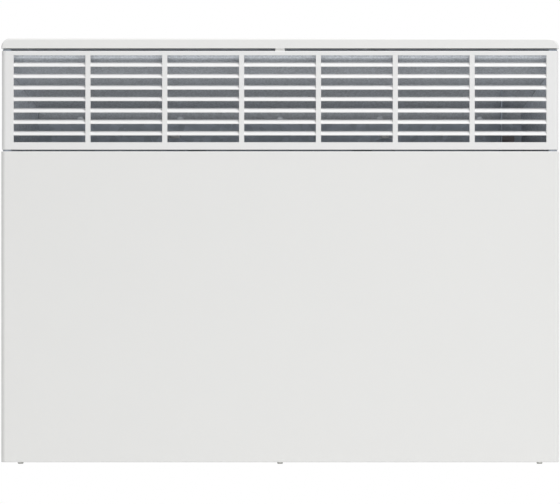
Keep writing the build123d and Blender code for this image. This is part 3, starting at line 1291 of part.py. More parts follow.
def make_room_sensor():
    """The temperature sensor: a round-ended bead in its sleeve."""
    left, right = SENSOR_X - SENSOR_LENGTH / 2, SENSOR_X + SENSOR_LENGTH / 2
    sleeve = rod_along_x(SENSOR_RADIUS, left, right, SENSOR_Y, SENSOR_SEAT_Z + SENSOR_RISE)
    return fillet(sleeve.edges().group_by(Axis.X)[0], SENSOR_ROUND)


# ---- Wall bracket ----
def screw_places():
    """The four wall screws, around the origin."""
    half_x, half_z = SCREW_SPACING_X / 2, SCREW_SPACING_Z / 2
    return [(x, MOUNT_HEIGHT + z) for x in (-half_x, half_x) for z in (-half_z, half_z)]


def make_hook(x):
    """One hook: an arm through the back of the casing with its tip turned up inside."""
    half = HOOK_WIDTH / 2
    tip_y = INNER_BACK_Y - SEAT - STEEL
    path = [
        (0.0, BRACKET_BOTTOM),
        (tip_y, BRACKET_BOTTOM),
        (tip_y, BRACKET_BOTTOM + STEEL + HOOK_TIP),
    ]
    hook = on_yz(bent_strip(path, STEEL + SEAT, STEEL, Side.RIGHT), x - half, x + half)
    return fillet(hook.edges().filter_by(Axis.Y).group_by(Axis.Z)[-1], HOOK_ROUND)


def make_wall_bracket():
    """The folded wall bracket: a flat frame, two latch arms at the top, two hooks below."""
    half = SCREW_SPACING_X / 2 + BRACKET_MARGIN
    frame = block(-half, half, -STEEL, 0.0, BRACKET_BOTTOM, BRACKET_TOP)
    frame = fillet(frame.edges().filter_by(Axis.Y), BRACKET_CORNER)
    window = block(
        -half + BRACKET_RIM, half - BRACKET_RIM, -2 * STEEL, STEEL,
        BRACKET_BOTTOM + BRACKET_RIM, BRACKET_TOP - BRACKET_RIM,
    )
    frame -= fillet(window.edges().filter_by(Axis.Y), BRACKET_CORNER)
    additions = [make_hook(-HOOK_X), make_hook(HOOK_X)]
    half_arm = LATCH_ARM_WIDTH / 2
    for x in (-LATCH_X, LATCH_X):
        arm = block(x - half_arm, x + half_arm, BACK_Y, 0.0, BRACKET_TOP - STEEL, BRACKET_TOP)
        corners = arm.edges().filter_by(Axis.Z).group_by(Axis.Y)[0]
        additions.append(fillet(corners, LATCH_ARM_ROUND))
    bracket = frame.fuse(*additions)
    cuts = [rod_along_y(SCREW_HOLE_RADIUS, x, -2 * STEEL, STEEL, z) for x, z in screw_places()]
    pin_hole = LATCH_PIN_RADIUS + RUNNING_FIT
    low, high = BRACKET_TOP - 2 * STEEL, BRACKET_TOP + STEEL
    for x in (-LATCH_X, LATCH_X):
        cuts.append(upright_rod(pin_hole, x, LATCH_Y, low, high))
    return bracket.cut(*cuts)


def make_latch(x):
    """A quarter-turn latch: slotted head, pin through the arm and a wing behind the casing."""
    head_low = BRACKET_TOP + LATCH_GAP
    head_top = head_low + LATCH_HEAD_HEIGHT
    pin = upright_rod(LATCH_PIN_RADIUS, 0, 0, LATCH_WING_TOP, head_low)
    head = upright_rod(LATCH_HEAD_RADIUS, 0, 0, head_low, head_top)
    head = fillet(head.edges().group_by(Axis.Z)[-1], LATCH_HEAD_ROUND)
    slot, reach = LATCH_COIN_SLOT / 2, LATCH_HEAD_RADIUS + LOOSE_FIT
    head -= block(-reach, reach, -slot, slot, head_top - LATCH_COIN_DEPTH, head_top + LOOSE_FIT)
    half = LATCH_WIDTH / 2
    wing = block(-half, half, -LATCH_REACH, 0.0, LATCH_WING_BOTTOM, LATCH_WING_TOP)
    wing = fillet(wing.edges().filter_by(Axis.Z).group_by(Axis.Y)[0], LATCH_ROUND)
    hub = upright_rod(LATCH_HUB_RADIUS, 0, 0, LATCH_WING_BOTTOM, LATCH_WING_TOP)
    return Pos(x, LATCH_Y, 0) * pin.fuse(head, wing, hub)


def node_makers():
    """Every piece of the heater under the name of its node."""
    return {
        "rear_casing": make_rear_casing,
        "casing_end_right": make_casing_end,
        "casing_end_left": lambda: mirrored(make_casing_end()),
        "top_cap": make_top_cap,
        "grille_panel": make_grille_panel,
        "front_panel": make_front_panel,
        "seam_clip": make_seam_clip,
        "bottom_screws": make_bottom_screws,
        "cap_screws": make_cap_screws,
        "casing_rivets": make_rivets,
        "inlet_grille": make_inlet_grille,
        "heat_deflector": make_heat_deflector,
        "side_deflector_right": make_side_deflector,
        "side_deflector_left": lambda: mirrored(make_side_deflector()),
        "partition": make_partition,
        "thermal_cutout": make_thermal_cutout,
        "heating_element": make_heating_element,
        "heating_rod": make_heating_rod,
        "element_bushes": make_element_bushes,
        "element_bracket_left": lambda: make_element_bracket(BRACKET_PLATE_LEFT, -1),
        "element_bracket_right": lambda: make_element_bracket(BRACKET_PLATE_RIGHT, 1),
        "hanger_left": lambda: make_hanger(-HANGER_X),
        "hanger_right": lambda: make_hanger(HANGER_X),
        "hanger_insulators": make_hanger_insulators,
        "hanger_screws": make_hanger_screws,
        "control_fascia": make_control_fascia,
        "control_board": make_control_board,
        "indicator_lens": make_indicator_lens,
        "thermostat_knob": make_thermostat_knob,
        "knob_spindle": make_knob_spindle,
        "mode_slider": make_mode_slider,
        "switch_body": make_switch_body,
        "power_rocker": make_power_rocker,
        "cord_gland": make_cord_gland,
        "terminal_block": make_terminal_block,
        "supply_leads": make_supply_leads,
        "earth_stud": make_earth_stud,
        "sensor_clip": make_sensor_clip,
        "room_sensor": make_room_sensor,
        "wall_bracket": make_wall_bracket,
        "latch_left": lambda: make_latch(-LATCH_X),
        "latch_right": lambda: make_latch(LATCH_X),
    }


def about_origin(piece):
    """A piece with each of its solids moved to be measured from the wall screws."""
    solids = [Pos(0, 0, -MOUNT_HEIGHT) * solid for solid in piece.solids()]
    return solids[0] if len(solids) == 1 else Compound(children=solids)


def main():
    """Builds every piece and writes it about the origin at the middle of the wall screws."""
    os.makedirs("parts", exist_ok=True)
    for name, make in node_makers().items():
        export_step(about_origin(make()), f"parts/{name}.step")


if __name__ == "__main__":
    main()
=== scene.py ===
import json
import math

import bmesh
import bpy
from mathutils import Matrix, Vector


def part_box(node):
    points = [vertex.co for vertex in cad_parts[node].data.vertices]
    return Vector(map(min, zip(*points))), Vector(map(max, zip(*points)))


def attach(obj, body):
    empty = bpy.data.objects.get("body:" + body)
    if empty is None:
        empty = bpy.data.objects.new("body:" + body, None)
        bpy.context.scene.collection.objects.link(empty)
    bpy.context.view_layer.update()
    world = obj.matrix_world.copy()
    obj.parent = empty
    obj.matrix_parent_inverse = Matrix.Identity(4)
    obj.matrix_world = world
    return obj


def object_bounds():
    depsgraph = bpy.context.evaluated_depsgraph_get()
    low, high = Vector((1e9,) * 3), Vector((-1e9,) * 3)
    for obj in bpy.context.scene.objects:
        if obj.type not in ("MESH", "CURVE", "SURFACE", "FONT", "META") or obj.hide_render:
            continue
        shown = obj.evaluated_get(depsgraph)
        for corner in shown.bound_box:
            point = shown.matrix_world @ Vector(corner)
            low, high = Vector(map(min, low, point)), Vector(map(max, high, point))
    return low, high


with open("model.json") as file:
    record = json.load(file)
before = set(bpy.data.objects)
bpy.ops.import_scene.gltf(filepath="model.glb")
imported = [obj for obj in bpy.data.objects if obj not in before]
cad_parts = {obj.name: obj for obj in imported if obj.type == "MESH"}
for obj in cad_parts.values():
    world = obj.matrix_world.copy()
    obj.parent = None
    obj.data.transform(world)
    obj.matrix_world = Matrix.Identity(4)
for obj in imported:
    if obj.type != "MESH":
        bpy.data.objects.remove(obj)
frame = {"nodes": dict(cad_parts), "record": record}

bl_info = {
    "name": "Panel Convector Heater",
    "version": (1, 0, 0),
    "blender": (4, 5, 0),
    "location": "View3D > Sidebar > Heater",
    "description": "Finishes, control markings and studio for a wall panel convector heater",
    "category": "Object",
}

MM = 0.001
HEATER = "heater"
CAD_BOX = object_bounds()


def linear(hex_colour):
    """A colour written as sRGB hex, as the linear values that Blender's sockets hold."""
    values = [int(hex_colour[i:i + 2], 16) / 255 for i in (1, 3, 5)]
    return tuple(v / 12.92 if v <= 0.04045 else ((v + 0.055) / 1.055) ** 2.4 for v in values)


def colour_property(name, description, hex_colour):
    """A colour that a user can change, given by its sRGB hex value."""
    return bpy.props.FloatVectorProperty(
        name=name, description=description, subtype="COLOR", size=3, min=0, max=1,
        default=linear(hex_colour),
    )


def length_property(name, description, millimetres):
    """A length that a user can change, given in millimetres."""
    return bpy.props.FloatProperty(
        name=name, description=description, default=millimetres * MM, min=0, unit="LENGTH",
        subtype="DISTANCE", precision=5,
    )


def place_property(name, description, place):
    """A place that a user can change, given in metres."""
    return bpy.props.FloatVectorProperty(
        name=name, description=description, default=place, subtype="TRANSLATION", unit="LENGTH"
    )


class HeaterColours(bpy.types.PropertyGroup):
    """Colours of the heater's materials."""

    enamel: colour_property("Powder coat", "White coat on the front panel and bracket", "#EAEAE9")
    # The outlet coat is the front panel's coat made lighter: a painted highlight on the louvred
    # outlet.
    outlet: colour_property("Outlet coat", "Lighter white coat on the louvred outlet", "#ECECEC")
    moulding: colour_property("White mouldings", "Top cap, fascia, knob and latches", "#EBEBEA")
    grey_moulding: colour_property("Grey mouldings", "Slider and rocker", "#8D9194")
    galvanised: colour_property("Galvanised sheet", "Casing, partition and brackets", "#B2BAC5")
    aluminised: colour_property("Aluminised sheet", "Hood and cheeks around the element", "#DADFE6")
    element: colour_property("Element", "Extruded aluminium of the heating element", "#8C8F92")
    rivets: colour_property("Rivets", "Drawn aluminium of the casing's rivets", "#C4C8CD")
    plating: colour_property("Zinc plating", "Plated steel of the screws", "#A9A9A6")
    brass: colour_property("Brass", "Turned brass of the earth stud", "#B8995A")
    nylon: colour_property("Black nylon", "Gland, switch body, spindle and sensor", "#1C1C1D")
    phenolic: colour_property("Phenolic", "Moulded case of the thermal cut-out", "#8C8688")
    ink: colour_property("Printed marks", "Ink of the scale and switch symbols", "#6A6E72")


class HeaterStudio(bpy.types.PropertyGroup):
    """Camera, lamps and floor."""

    lens: bpy.props.FloatProperty(
        name="Lens", description="Focal length of the camera, in millimetres",
        default=400.0, min=20.0, subtype="DISTANCE_CAMERA",
    )
    key_place: place_property(
        "Key place", "Middle of the lamp high at the right, in front", (0.9, -1.4, 3.2)
    )
    key_size: length_property("Key size", "Width and height of that lamp", 900.0)
    key_power: bpy.props.FloatProperty(
        name="Key power", description="Power of that lamp", default=83.0, min=0.0, unit="POWER"
    )
    fill_place: place_property(
        "Fill place", "Middle of the long lamp on the floor in front", (0.2, -1.2, -0.33)
    )
    fill_width: length_property("Fill width", "Width of that lamp", 2400.0)
    fill_height: length_property("Fill height", "Height of that lamp", 80.0)
    fill_power: bpy.props.FloatProperty(
        name="Fill power", description="Power of that lamp", default=2.2, min=0.0, unit="POWER"
    )
    room_level: bpy.props.FloatProperty(
        name="Room level", description="Even light of the white room", default=0.47, min=0.0
    )
    floor_tone: colour_property("Floor tone", "Pale grey of the floor", "#E6E6E4")
    floor_drop: length_property("Floor drop", "Height of the heater above the floor", 150.0)
    floor_reach: length_property("Floor reach", "Half the width of the floor", 1500.0)


def add_node(tree, kind, inputs=None, **settings):
    """Adds a shader node with its settings, input values and incoming links."""
    made = tree.nodes.new(kind)
    for name, value in settings.items():
        setattr(made, name, value)
    for socket, value in (inputs or {}).items():
        if isinstance(value, bpy.types.NodeSocket):
            tree.links.new(value, made.inputs[socket])
        else:
            made.inputs[socket].default_value = value
    return made


def rgba(colour, level=1.0):
    """A linear colour, optionally darker or lighter, as a socket takes it."""
    return (*(min(1.0, channel * level) for channel in colour), 1.0)


def blank_material(name):
    """A material holding only object coordinates and an output; returns its tree and both."""
    material = bpy.data.materials.new(name)
    material.use_nodes = True
    tree = material.node_tree
    tree.nodes.clear()
    place = add_node(tree, "ShaderNodeTexCoord").outputs["Object"]
    output = add_node(tree, "ShaderNodeOutputMaterial")
    return material, tree, place, output


def shade(tree, output, **inputs):
    """Ends a material in a Principled surface; input names have spaces as underscores."""
    named = {name.replace("_", " "): value for name, value in inputs.items()}
    surface = add_node(tree, "ShaderNodeBsdfPrincipled", named)
    tree.links.new(surface.outputs["BSDF"], output.inputs["Surface"])


def between(tree, factor, low, high):
    """A colour ramp from one colour to another."""
    ramp = add_node(tree, "ShaderNodeValToRGB", {"Fac": factor})
    ramp.color_ramp.elements[0].color = low
    ramp.color_ramp.elements[1].color = high
    return ramp.outputs["Color"]


def powder_coat(name, colour):
    """Polyester powder coat on steel: satin, with a faint orange peel about 2 mm across.

    The peel breaks up highlights a little; the colour drifts by under one per cent."""
    material, tree, place, output = blank_material(name)
    peel = add_node(
        tree, "ShaderNodeTexNoise", {"Vector": place, "Scale": 1 / (2.2 * MM), "Detail": 2.0}
    )
    drift = add_node(
        tree, "ShaderNodeTexNoise", {"Vector": place, "Scale": 1 / (90 * MM), "Detail": 1.0}
    )
    coat = between(tree, drift.outputs["Fac"], rgba(colour, 0.992), rgba(colour, 1.004))
    bump = add_node(
        tree, "ShaderNodeBump",
        {"Height": peel.outputs["Fac"], "Strength": 0.10, "Distance": 0.05 * MM},
    )
    shade(
        tree, output, Base_Color=coat, Roughness=0.42, IOR=1.5, Normal=bump.outputs["Normal"]
    )
    return material


def moulded_plastic(name, colour, roughness=0.38, grain=0.9):
    """Moulded or extruded plastic with a fine grain, such as a spark-eroded tool leaves.

    The grain is given in millimetres; the values at hand suit injection-moulded ABS."""
    material, tree, place, output = blank_material(name)
    spark = add_node(
        tree, "ShaderNodeTexNoise", {"Vector": place, "Scale": 1 / (grain * MM), "Detail": 3.0}
    )
    tone = between(tree, spark.outputs["Fac"], rgba(colour, 0.985), rgba(colour, 1.01))
    bump = add_node(
        tree, "ShaderNodeBump",
        {"Height": spark.outputs["Fac"], "Strength": 0.12, "Distance": 0.03 * MM},
    )
    shade(
        tree, output, Base_Color=tone, Roughness=roughness, IOR=1.54,
        Normal=bump.outputs["Normal"],
    )
    return material


# All in millimetres: widths of the crystals of a zinc and of an aluminium coat, how far above
# its lowest edge the hood is painted darker as painted shade, half the length of rod that is
# browned, and the length and width of an extrusion's die lines.
ZINC_CRYSTAL = 7.0
ALUMINIUM_CRYSTAL = 1.5
PAINTED_SHADE_REACH = 20.0
ROD_HOT_HALF = 250.0
DIE_LINE_LENGTH = 60.0
DIE_LINE_WIDTH = 0.8


def dipped_sheet(name, colour, crystal, painted_shade_edge=None):
    """Hot-dip coated steel: a spangle of crystals so wide, each its own grey.

    Where the height of a low edge is given, the coat is painted darker there as painted shade,
    fading out upwards."""
    material, tree, place, output = blank_material(name)
    spangle = add_node(
        tree, "ShaderNodeTexVoronoi",
        {"Vector": place, "Scale": 1 / (crystal * MM), "Randomness": 1.0},
    )
    grey = add_node(tree, "ShaderNodeSeparateColor", {"Color": spangle.outputs["Color"]})
    tone = between(tree, grey.outputs["Red"], rgba(colour, 0.86), rgba(colour, 1.08))
    if painted_shade_edge is not None:
        axes = add_node(tree, "ShaderNodeSeparateXYZ", {"Vector": place})
        # Painted shade: the coat is darkened to about half at the low edge and fades back to its
        # own tone over the reach above it.
        unshaded_share = add_node(
            tree, "ShaderNodeMapRange",
            {
                "Value": axes.outputs["Z"], "From Min": painted_shade_edge,
                "From Max": painted_shade_edge + PAINTED_SHADE_REACH * MM,
            },
        )
        painted_shade_tone = between(tree, grey.outputs["Red"], rgba(colour, 0.42), rgba(colour, 0.52))
        mixed = add_node(
            tree, "ShaderNodeMix", {0: unshaded_share.outputs["Result"], 6: painted_shade_tone, 7: tone},
            data_type="RGBA",
        )
        tone = mixed.outputs[2]
    gloss = add_node(
        tree, "ShaderNodeMapRange",
        {"Value": grey.outputs["Green"], "To Min": 0.40, "To Max": 0.56},
    )
    shade(tree, output, Base_Color=tone, Metallic=0.3, Roughness=gloss.outputs["Result"])
    return material


def turned_metal(name, colour, roughness):
    """Turned brass or zinc-plated steel: fine tool marks seen as a streaky gloss."""
    material, tree, place, output = blank_material(name)
    rings = add_node(
        tree, "ShaderNodeTexNoise", {"Vector": place, "Scale": 1 / (0.7 * MM), "Detail": 2.0}
    )
    gloss = add_node(
        tree, "ShaderNodeMapRange",
        {"Value": rings.outputs["Fac"], "To Min": roughness - 0.08, "To Max": roughness + 0.10},
    )
    tone = between(tree, rings.outputs["Fac"], rgba(colour, 0.92), rgba(colour, 1.05))
    shade(tree, output, Base_Color=tone, Metallic=1.0, Roughness=gloss.outputs["Result"])
    return material


def extruded_aluminium(name, colour):
    """Mill-finish extruded aluminium: die lines that run along the bar."""
    material, tree, place, output = blank_material(name)
    across = 1 / (DIE_LINE_WIDTH * MM)
    along = add_node(
        tree, "ShaderNodeMapping",
        {"Vector": place, "Scale": (1 / (DIE_LINE_LENGTH * MM), across, across)},
    )
    lines = add_node(tree, "ShaderNodeTexNoise", {"Vector": along.outputs["Vector"], "Scale": 1.0})
    tone = between(tree, lines.outputs["Fac"], rgba(colour, 0.88), rgba(colour, 1.08))
    shade(tree, output, Base_Color=tone, Metallic=0.9, Roughness=0.45)
    return material


def heat_tinted_rod(name):
    """Stainless sheath of the heating rod, browned by heat towards its middle."""
    material, tree, place, output = blank_material(name)
    axis = add_node(tree, "ShaderNodeSeparateXYZ", {"Vector": place})
    far = add_node(tree, "ShaderNodeMath", {0: axis.outputs["X"]}, operation="ABSOLUTE")
    share = add_node(
        tree, "ShaderNodeMapRange", {"Value": far.outputs["Value"], "From Max": ROD_HOT_HALF * MM}
    )
    tint = between(
        tree, share.outputs["Result"], rgba(linear("#6B5F52")), rgba(linear("#9A978F"))
    )
    shade(tree, output, Base_Color=tint, Metallic=1.0, Roughness=0.4)
    return material


def steatite(name):
    """Fired steatite ceramic: matt off-white with fine grey specks."""
    material, tree, place, output = blank_material(name)
    specks = add_node(
        tree, "ShaderNodeTexNoise", {"Vector": place, "Scale": 1 / (0.8 * MM), "Detail": 4.0}
    )
    tone = between(
        tree, specks.outputs["Fac"], rgba(linear("#CFCABD")), rgba(linear("#E6E1D6"))
    )
    shade(tree, output, Base_Color=tone, Roughness=0.7, IOR=1.6)
    return material


def circuit_laminate(name):
    """Glass-epoxy board under green solder resist, with broad copper tracks showing through."""
    material, tree, place, output = blank_material(name)
    tracks = add_node(
        tree, "ShaderNodeTexBrick",
        {
            "Vector": place, "Scale": 1 / (14 * MM), "Mortar Size": 0.06, "Mortar Smooth": 0.1,
            "Color1": rgba(linear("#1E5A3C")), "Color2": rgba(linear("#22623F")),
            "Mortar": rgba(linear("#3C8A57")),
        },
    )
    shade(tree, output, Base_Color=tracks.outputs["Color"], Roughness=0.35, IOR=1.55)
    return material


def amber_lens(name):
    """Translucent polycarbonate of the indicator, slightly cloudy inside."""
    material, tree, place, output = blank_material(name)
    cloud = add_node(
        tree, "ShaderNodeTexNoise", {"Vector": place, "Scale": 1 / (1.5 * MM), "Detail": 1.0}
    )
    tone = between(
        tree, cloud.outputs["Fac"], rgba(linear("#B8551F")), rgba(linear("#D06A2A"))
    )
    shade(
        tree, output, Base_Color=tone, Roughness=0.15, IOR=1.58, Subsurface_Weight=0.3,
        Subsurface_Radius=(1.0, 0.4, 0.1), Subsurface_Scale=1.0 * MM,
    )
    return material


def printed_ink(name, colour):
    """Two-part pad-printing ink: matt, with slightly uneven cover."""
    material, tree, place, output = blank_material(name)
    cover = add_node(
        tree, "ShaderNodeTexNoise", {"Vector": place, "Scale": 1 / (0.4 * MM), "Detail": 1.0}
    )
    tone = between(tree, cover.outputs["Fac"], rgba(colour, 0.96), rgba(colour, 1.05))
    shade(tree, output, Base_Color=tone, Roughness=0.6, IOR=1.5)
    return material


def dress(material, slot, alone=None):
    """Gives a finish to the CAD nodes that the record puts in one slot, or to one of them."""
    for part in frame["record"]["subparts"]:
        if part["material_slot"] == slot and alone in (None, part["node"]):
            for holder in frame["nodes"][part["node"]].material_slots:
                holder.material = material


class HEATER_OT_painted_sheets(bpy.types.Operator):
    """Powder-coat the front panel and the wall bracket, and the louvred outlet in a lighter copy of
    that coat as a painted highlight
    """

    bl_idname = "heater.painted_sheets"
    bl_label = "Coat the Painted Sheets"

    def execute(self, context):
        colours = context.scene.heater_colours
        dress(powder_coat("powder_coated_steel", colours.enamel), "white_painted_steel")
        # The louvred outlet takes a lighter copy of the same powder coat, as a painted highlight.
        lighter = powder_coat("powder_coat_painted_highlight", colours.outlet)
        dress(lighter, "white_painted_steel", "grille_panel")
        return {"FINISHED"}


class HEATER_OT_inner_sheets(bpy.types.Operator):
    """Give the casing and brackets their zinc, the hood and cheeks their aluminium"""

    bl_idname = "heater.inner_sheets"
    bl_label = "Coat the Inner Sheets"

    def execute(self, context):
        colours = context.scene.heater_colours
        zinc = dipped_sheet("galvanised_steel", colours.galvanised, ZINC_CRYSTAL)
        dress(zinc, "galvanised_steel")
        cheeks = dipped_sheet("aluminised_steel", colours.aluminised, ALUMINIUM_CRYSTAL)
        dress(cheeks, "galvanised_steel", "side_deflector_right")
        dress(cheeks, "galvanised_steel", "side_deflector_left")
        # The hood's coat is painted darker just above its lowest edge, as painted shade.
        hood = dipped_sheet(
            "aluminised_steel_with_painted_shade", colours.aluminised, ALUMINIUM_CRYSTAL,
            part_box("heat_deflector")[0].z,
        )
        dress(hood, "galvanised_steel", "heat_deflector")
        return {"FINISHED"}


class HEATER_OT_mouldings(bpy.types.Operator):
    """Give the cap, fascia, knob, switches, gland and clips their moulded plastics"""

    bl_idname = "heater.mouldings"
    bl_label = "Finish the Mouldings"

    def execute(self, context):
        colours = context.scene.heater_colours
        dress(moulded_plastic("white_moulded_abs", colours.moulding), "white_plastic")
        grey = moulded_plastic("grey_moulded_abs", colours.grey_moulding, roughness=0.45)
        dress(grey, "grey_plastic")
        sheath = moulded_plastic(
            "extruded_pvc", colours.grey_moulding, roughness=0.55, grain=0.4
        )
        dress(sheath, "grey_plastic", "supply_leads")
        nylon = moulded_plastic(
            "black_glass_filled_nylon", colours.nylon, roughness=0.5, grain=0.6
        )
        dress(nylon, "black_plastic")
        phenolic = moulded_plastic("grey_phenolic", colours.phenolic, roughness=0.5, grain=0.6)
        dress(phenolic, "black_plastic", "thermal_cutout")
        dress(amber_lens("amber_polycarbonate"), "lens_plastic")
        return {"FINISHED"}


class HEATER_OT_element(bpy.types.Operator):
    """Finish the finned element, its rod and the ceramics that carry it"""

    bl_idname = "heater.element"
    bl_label = "Finish the Heating Element"

    def execute(self, context):
        colours = context.scene.heater_colours
        dress(extruded_aluminium("extruded_aluminium", colours.element), "anodised_aluminium")
        rivets = extruded_aluminium("drawn_aluminium", colours.rivets)
        dress(rivets, "anodised_aluminium", "casing_rivets")
        dress(heat_tinted_rod("heat_tinted_stainless"), "rod_steel")
        dress(steatite("fired_steatite"), "ceramic_white")
        return {"FINISHED"}


class HEATER_OT_fittings(bpy.types.Operator):
    """Finish the screws, the earth stud and the control board"""

    bl_idname = "heater.fittings"
    bl_label = "Finish the Screws and the Board"

    def execute(self, context):
        colours = context.scene.heater_colours
        plated = turned_metal("zinc_plated_steel", colours.plating, roughness=0.38)
        dress(plated, "zinc_plated_steel")
        dress(turned_metal("turned_brass", colours.brass, roughness=0.34), "brass")
        dress(circuit_laminate("glass_epoxy_laminate"), "board_laminate")
        return {"FINISHED"}


# Printed marks, in millimetres unless a line says otherwise.
# The ink's thickness, and how far its top stands above the surface it is printed on.
INK_THICKNESS = 0.05
INK_PROUD = 0.03
# Height of the font's figures as a share of its size, and steps along a round outline.
CAP_SHARE = 0.73
ROUND_STEPS = 48
# Thermostat: the knob floats over the well's floor, and its line lies in a shallow dish.
KNOB_LIFT = 0.5
SCALE_RADIUS = 18.4
SCALE_STEP = math.radians(45)
SCALE_START = math.radians(270)
FIGURE_HEIGHT = 2.6
OFF_DOT_RADIUS = 0.8
POINTER_SINK = 0.2
POINTER_FORWARD = 8.5
POINTER_WIDTH = 1.2
POINTER_LENGTH = 9.0
# Slider: a moon for the lowered setting and a sun for full heat, in front of its slot.
SYMBOL_FORWARD = 9.5
MOON_RADIUS = 2.1
MOON_BITE_RADIUS = 1.8
MOON_BITE_X = 1.1
SUN_RADIUS = 1.0
SUN_RAYS = 8
RAY_MIDDLE = 1.75
RAY_LENGTH = 0.8
RAY_WIDTH = 0.3
# Rocker: height of its waist over the pivot, slope of its two ends, and its tilt at rest.
ROCKER_WAIST = 2.4
ROCKER_FALL = math.radians(10.93)
ROCKER_TILT = math.radians(7.0)
ROCKER_MARK_X = 4.6
BAR_WIDTH = 0.6
BAR_LENGTH = 3.4
RING_RADIUS = 1.7
RING_INNER_RADIUS = 1.15


def rectangle_shape(width, depth):
    """A flat rectangle facing up."""
    shape = bmesh.new()
    bmesh.ops.create_grid(shape, x_segments=1, y_segments=1, size=0.5)
    bmesh.ops.scale(shape, vec=(width, depth, 1.0), verts=shape.verts)
    return shape


def disc_shape(radius):
    """A flat disc facing up."""
    shape = bmesh.new()
    bmesh.ops.create_circle(shape, cap_ends=True, segments=ROUND_STEPS, radius=radius)
    return shape


def ring_shape(radius, inner_radius):
    """A flat ring facing up."""
    shape = bmesh.new()
    for reach in (radius, inner_radius):
        bmesh.ops.create_circle(shape, cap_ends=False, segments=ROUND_STEPS, radius=reach)
    bmesh.ops.bridge_loops(shape, edges=shape.edges[:])
    return shape


def crescent_shape(radius, inner_radius, bite):
    """A flat crescent: a disc with a smaller one, set to its right, taken out of it."""
    horn_x = (radius ** 2 - inner_radius ** 2 + bite ** 2) / (2 * bite)
    horn_y = math.sqrt(radius ** 2 - horn_x ** 2)
    outer = math.atan2(horn_y, horn_x)
    inner = math.atan2(horn_y, horn_x - bite)
    steps = ROUND_STEPS // 2
    points = []
    for step in range(steps):
        angle = outer + 2 * (math.pi - outer) * step / steps
        points.append((radius * math.cos(angle), radius * math.sin(angle), 0.0))
    for step in range(steps):
        angle = 2 * math.pi - inner - 2 * (math.pi - inner) * step / steps
        points.append((bite + inner_radius * math.cos(angle), inner_radius * math.sin(angle), 0.0))
    shape = bmesh.new()
    shape.faces.new([shape.verts.new(point) for point in points])
    return shape


def figure_shape(text, height):
    """A figure of a given height as a flat mesh, centred and facing up."""
    curve = bpy.data.curves.new("figure", "FONT")
    curve.body = text
    curve.size = height / CAP_SHARE
    curve.align_x = "CENTER"
    curve.align_y = "CENTER"
    holder = bpy.data.objects.new("figure", curve)
    bpy.context.scene.collection.objects.link(holder)
    graph = bpy.context.evaluated_depsgraph_get()
    mesh = bpy.data.meshes.new_from_object(holder.evaluated_get(graph))
    shape = bmesh.new()
    shape.from_mesh(mesh)
    bpy.data.objects.remove(holder)
    bpy.data.curves.remove(curve)
    bpy.data.meshes.remove(mesh)
    return shape


def print_mark(marks, shape, place):
    """Adds one flat shape to a bmesh of marks, at a place given in metres."""
    bmesh.ops.scale(shape, vec=(MM, MM, MM), verts=shape.verts)
    bmesh.ops.transform(shape, matrix=place, verts=shape.verts)
    step = bpy.data.meshes.new("mark")
    shape.to_mesh(step)
    shape.free()
    marks.from_mesh(step)
    bpy.data.meshes.remove(step)


def at(x, y, z):
    """A place without any turn."""
    return Matrix.Translation((x, y, z))


def add_marks(name, marks, body):
    """Thickens flat marks into ink and makes them a piece that moves with one body."""
    bmesh.ops.recalc_face_normals(marks, faces=marks.faces)
    bmesh.ops.solidify(marks, geom=marks.faces[:], thickness=INK_THICKNESS * MM)
    mesh = bpy.data.meshes.new(name)
    marks.to_mesh(mesh)
    marks.free()
    mesh.materials.append(printed_ink("pad_printed_ink", bpy.context.scene.heater_colours.ink))
    piece = bpy.data.objects.new(name, mesh)
    bpy.context.scene.collection.objects.link(piece)
    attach(piece, body)


def middle(node):
    """The middle of a CAD node in plan, with its lowest and highest Z."""
    low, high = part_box(node)
    return (low.x + high.x) / 2, (low.y + high.y) / 2, low.z, high.z


def well_floor():
    """The height of the ink on the floor of the control well, just under the knob."""
    return middle("thermostat_knob")[2] + (INK_PROUD - KNOB_LIFT) * MM


class HEATER_OT_dial_scale(bpy.types.Operator):
    """Print the thermostat's scale round its knob: a dot for off, then 1 to 6 clockwise"""

    bl_idname = "heater.dial_scale"
    bl_label = "Print the Thermostat Scale"

    def execute(self, context):
        x, y, _, top = middle("thermostat_knob")
        marks = bmesh.new()
        for step, text in enumerate(("", "1", "2", "3", "4", "5", "6")):
            angle = SCALE_START - step * SCALE_STEP
            reach = SCALE_RADIUS * MM
            place = at(x + reach * math.cos(angle), y + reach * math.sin(angle), well_floor())
            shape = figure_shape(text, FIGURE_HEIGHT) if text else disc_shape(OFF_DOT_RADIUS)
            print_mark(marks, shape, place)
        add_marks("thermostat_scale", marks, HEATER)
        pointer = bmesh.new()
        place = at(x, y - POINTER_FORWARD * MM, top + (INK_PROUD - POINTER_SINK) * MM)
        print_mark(pointer, rectangle_shape(POINTER_WIDTH, POINTER_LENGTH), place)
        add_marks("knob_pointer_line", pointer, "thermostat_knob")
        return {"FINISHED"}


class HEATER_OT_slider_marks(bpy.types.Operator):
    """Print a moon and a sun in front of the two ends of the mode slider's travel"""

    bl_idname = "heater.slider_marks"
    bl_label = "Print the Slider Symbols"

    def execute(self, context):
        x, y, _, _ = middle("mode_slider")
        joints = frame["record"]["behaviour"]["joints"]
        travel = [joint["range_m"][1] for joint in joints if joint["child"] == "mode_slider"][0]
        y -= SYMBOL_FORWARD * MM
        marks = bmesh.new()
        moon = crescent_shape(MOON_RADIUS, MOON_BITE_RADIUS, MOON_BITE_X)
        print_mark(marks, moon, at(x, y, well_floor()))
        sun = at(x + travel, y, well_floor())
        print_mark(marks, disc_shape(SUN_RADIUS), sun)
        for step in range(SUN_RAYS):
            turn = Matrix.Rotation(2 * math.pi * step / SUN_RAYS, 4, "Z")
            outwards = at(RAY_MIDDLE * MM, 0, 0)
            print_mark(marks, rectangle_shape(RAY_LENGTH, RAY_WIDTH), sun @ turn @ outwards)
        add_marks("slider_symbols", marks, HEATER)
        return {"FINISHED"}


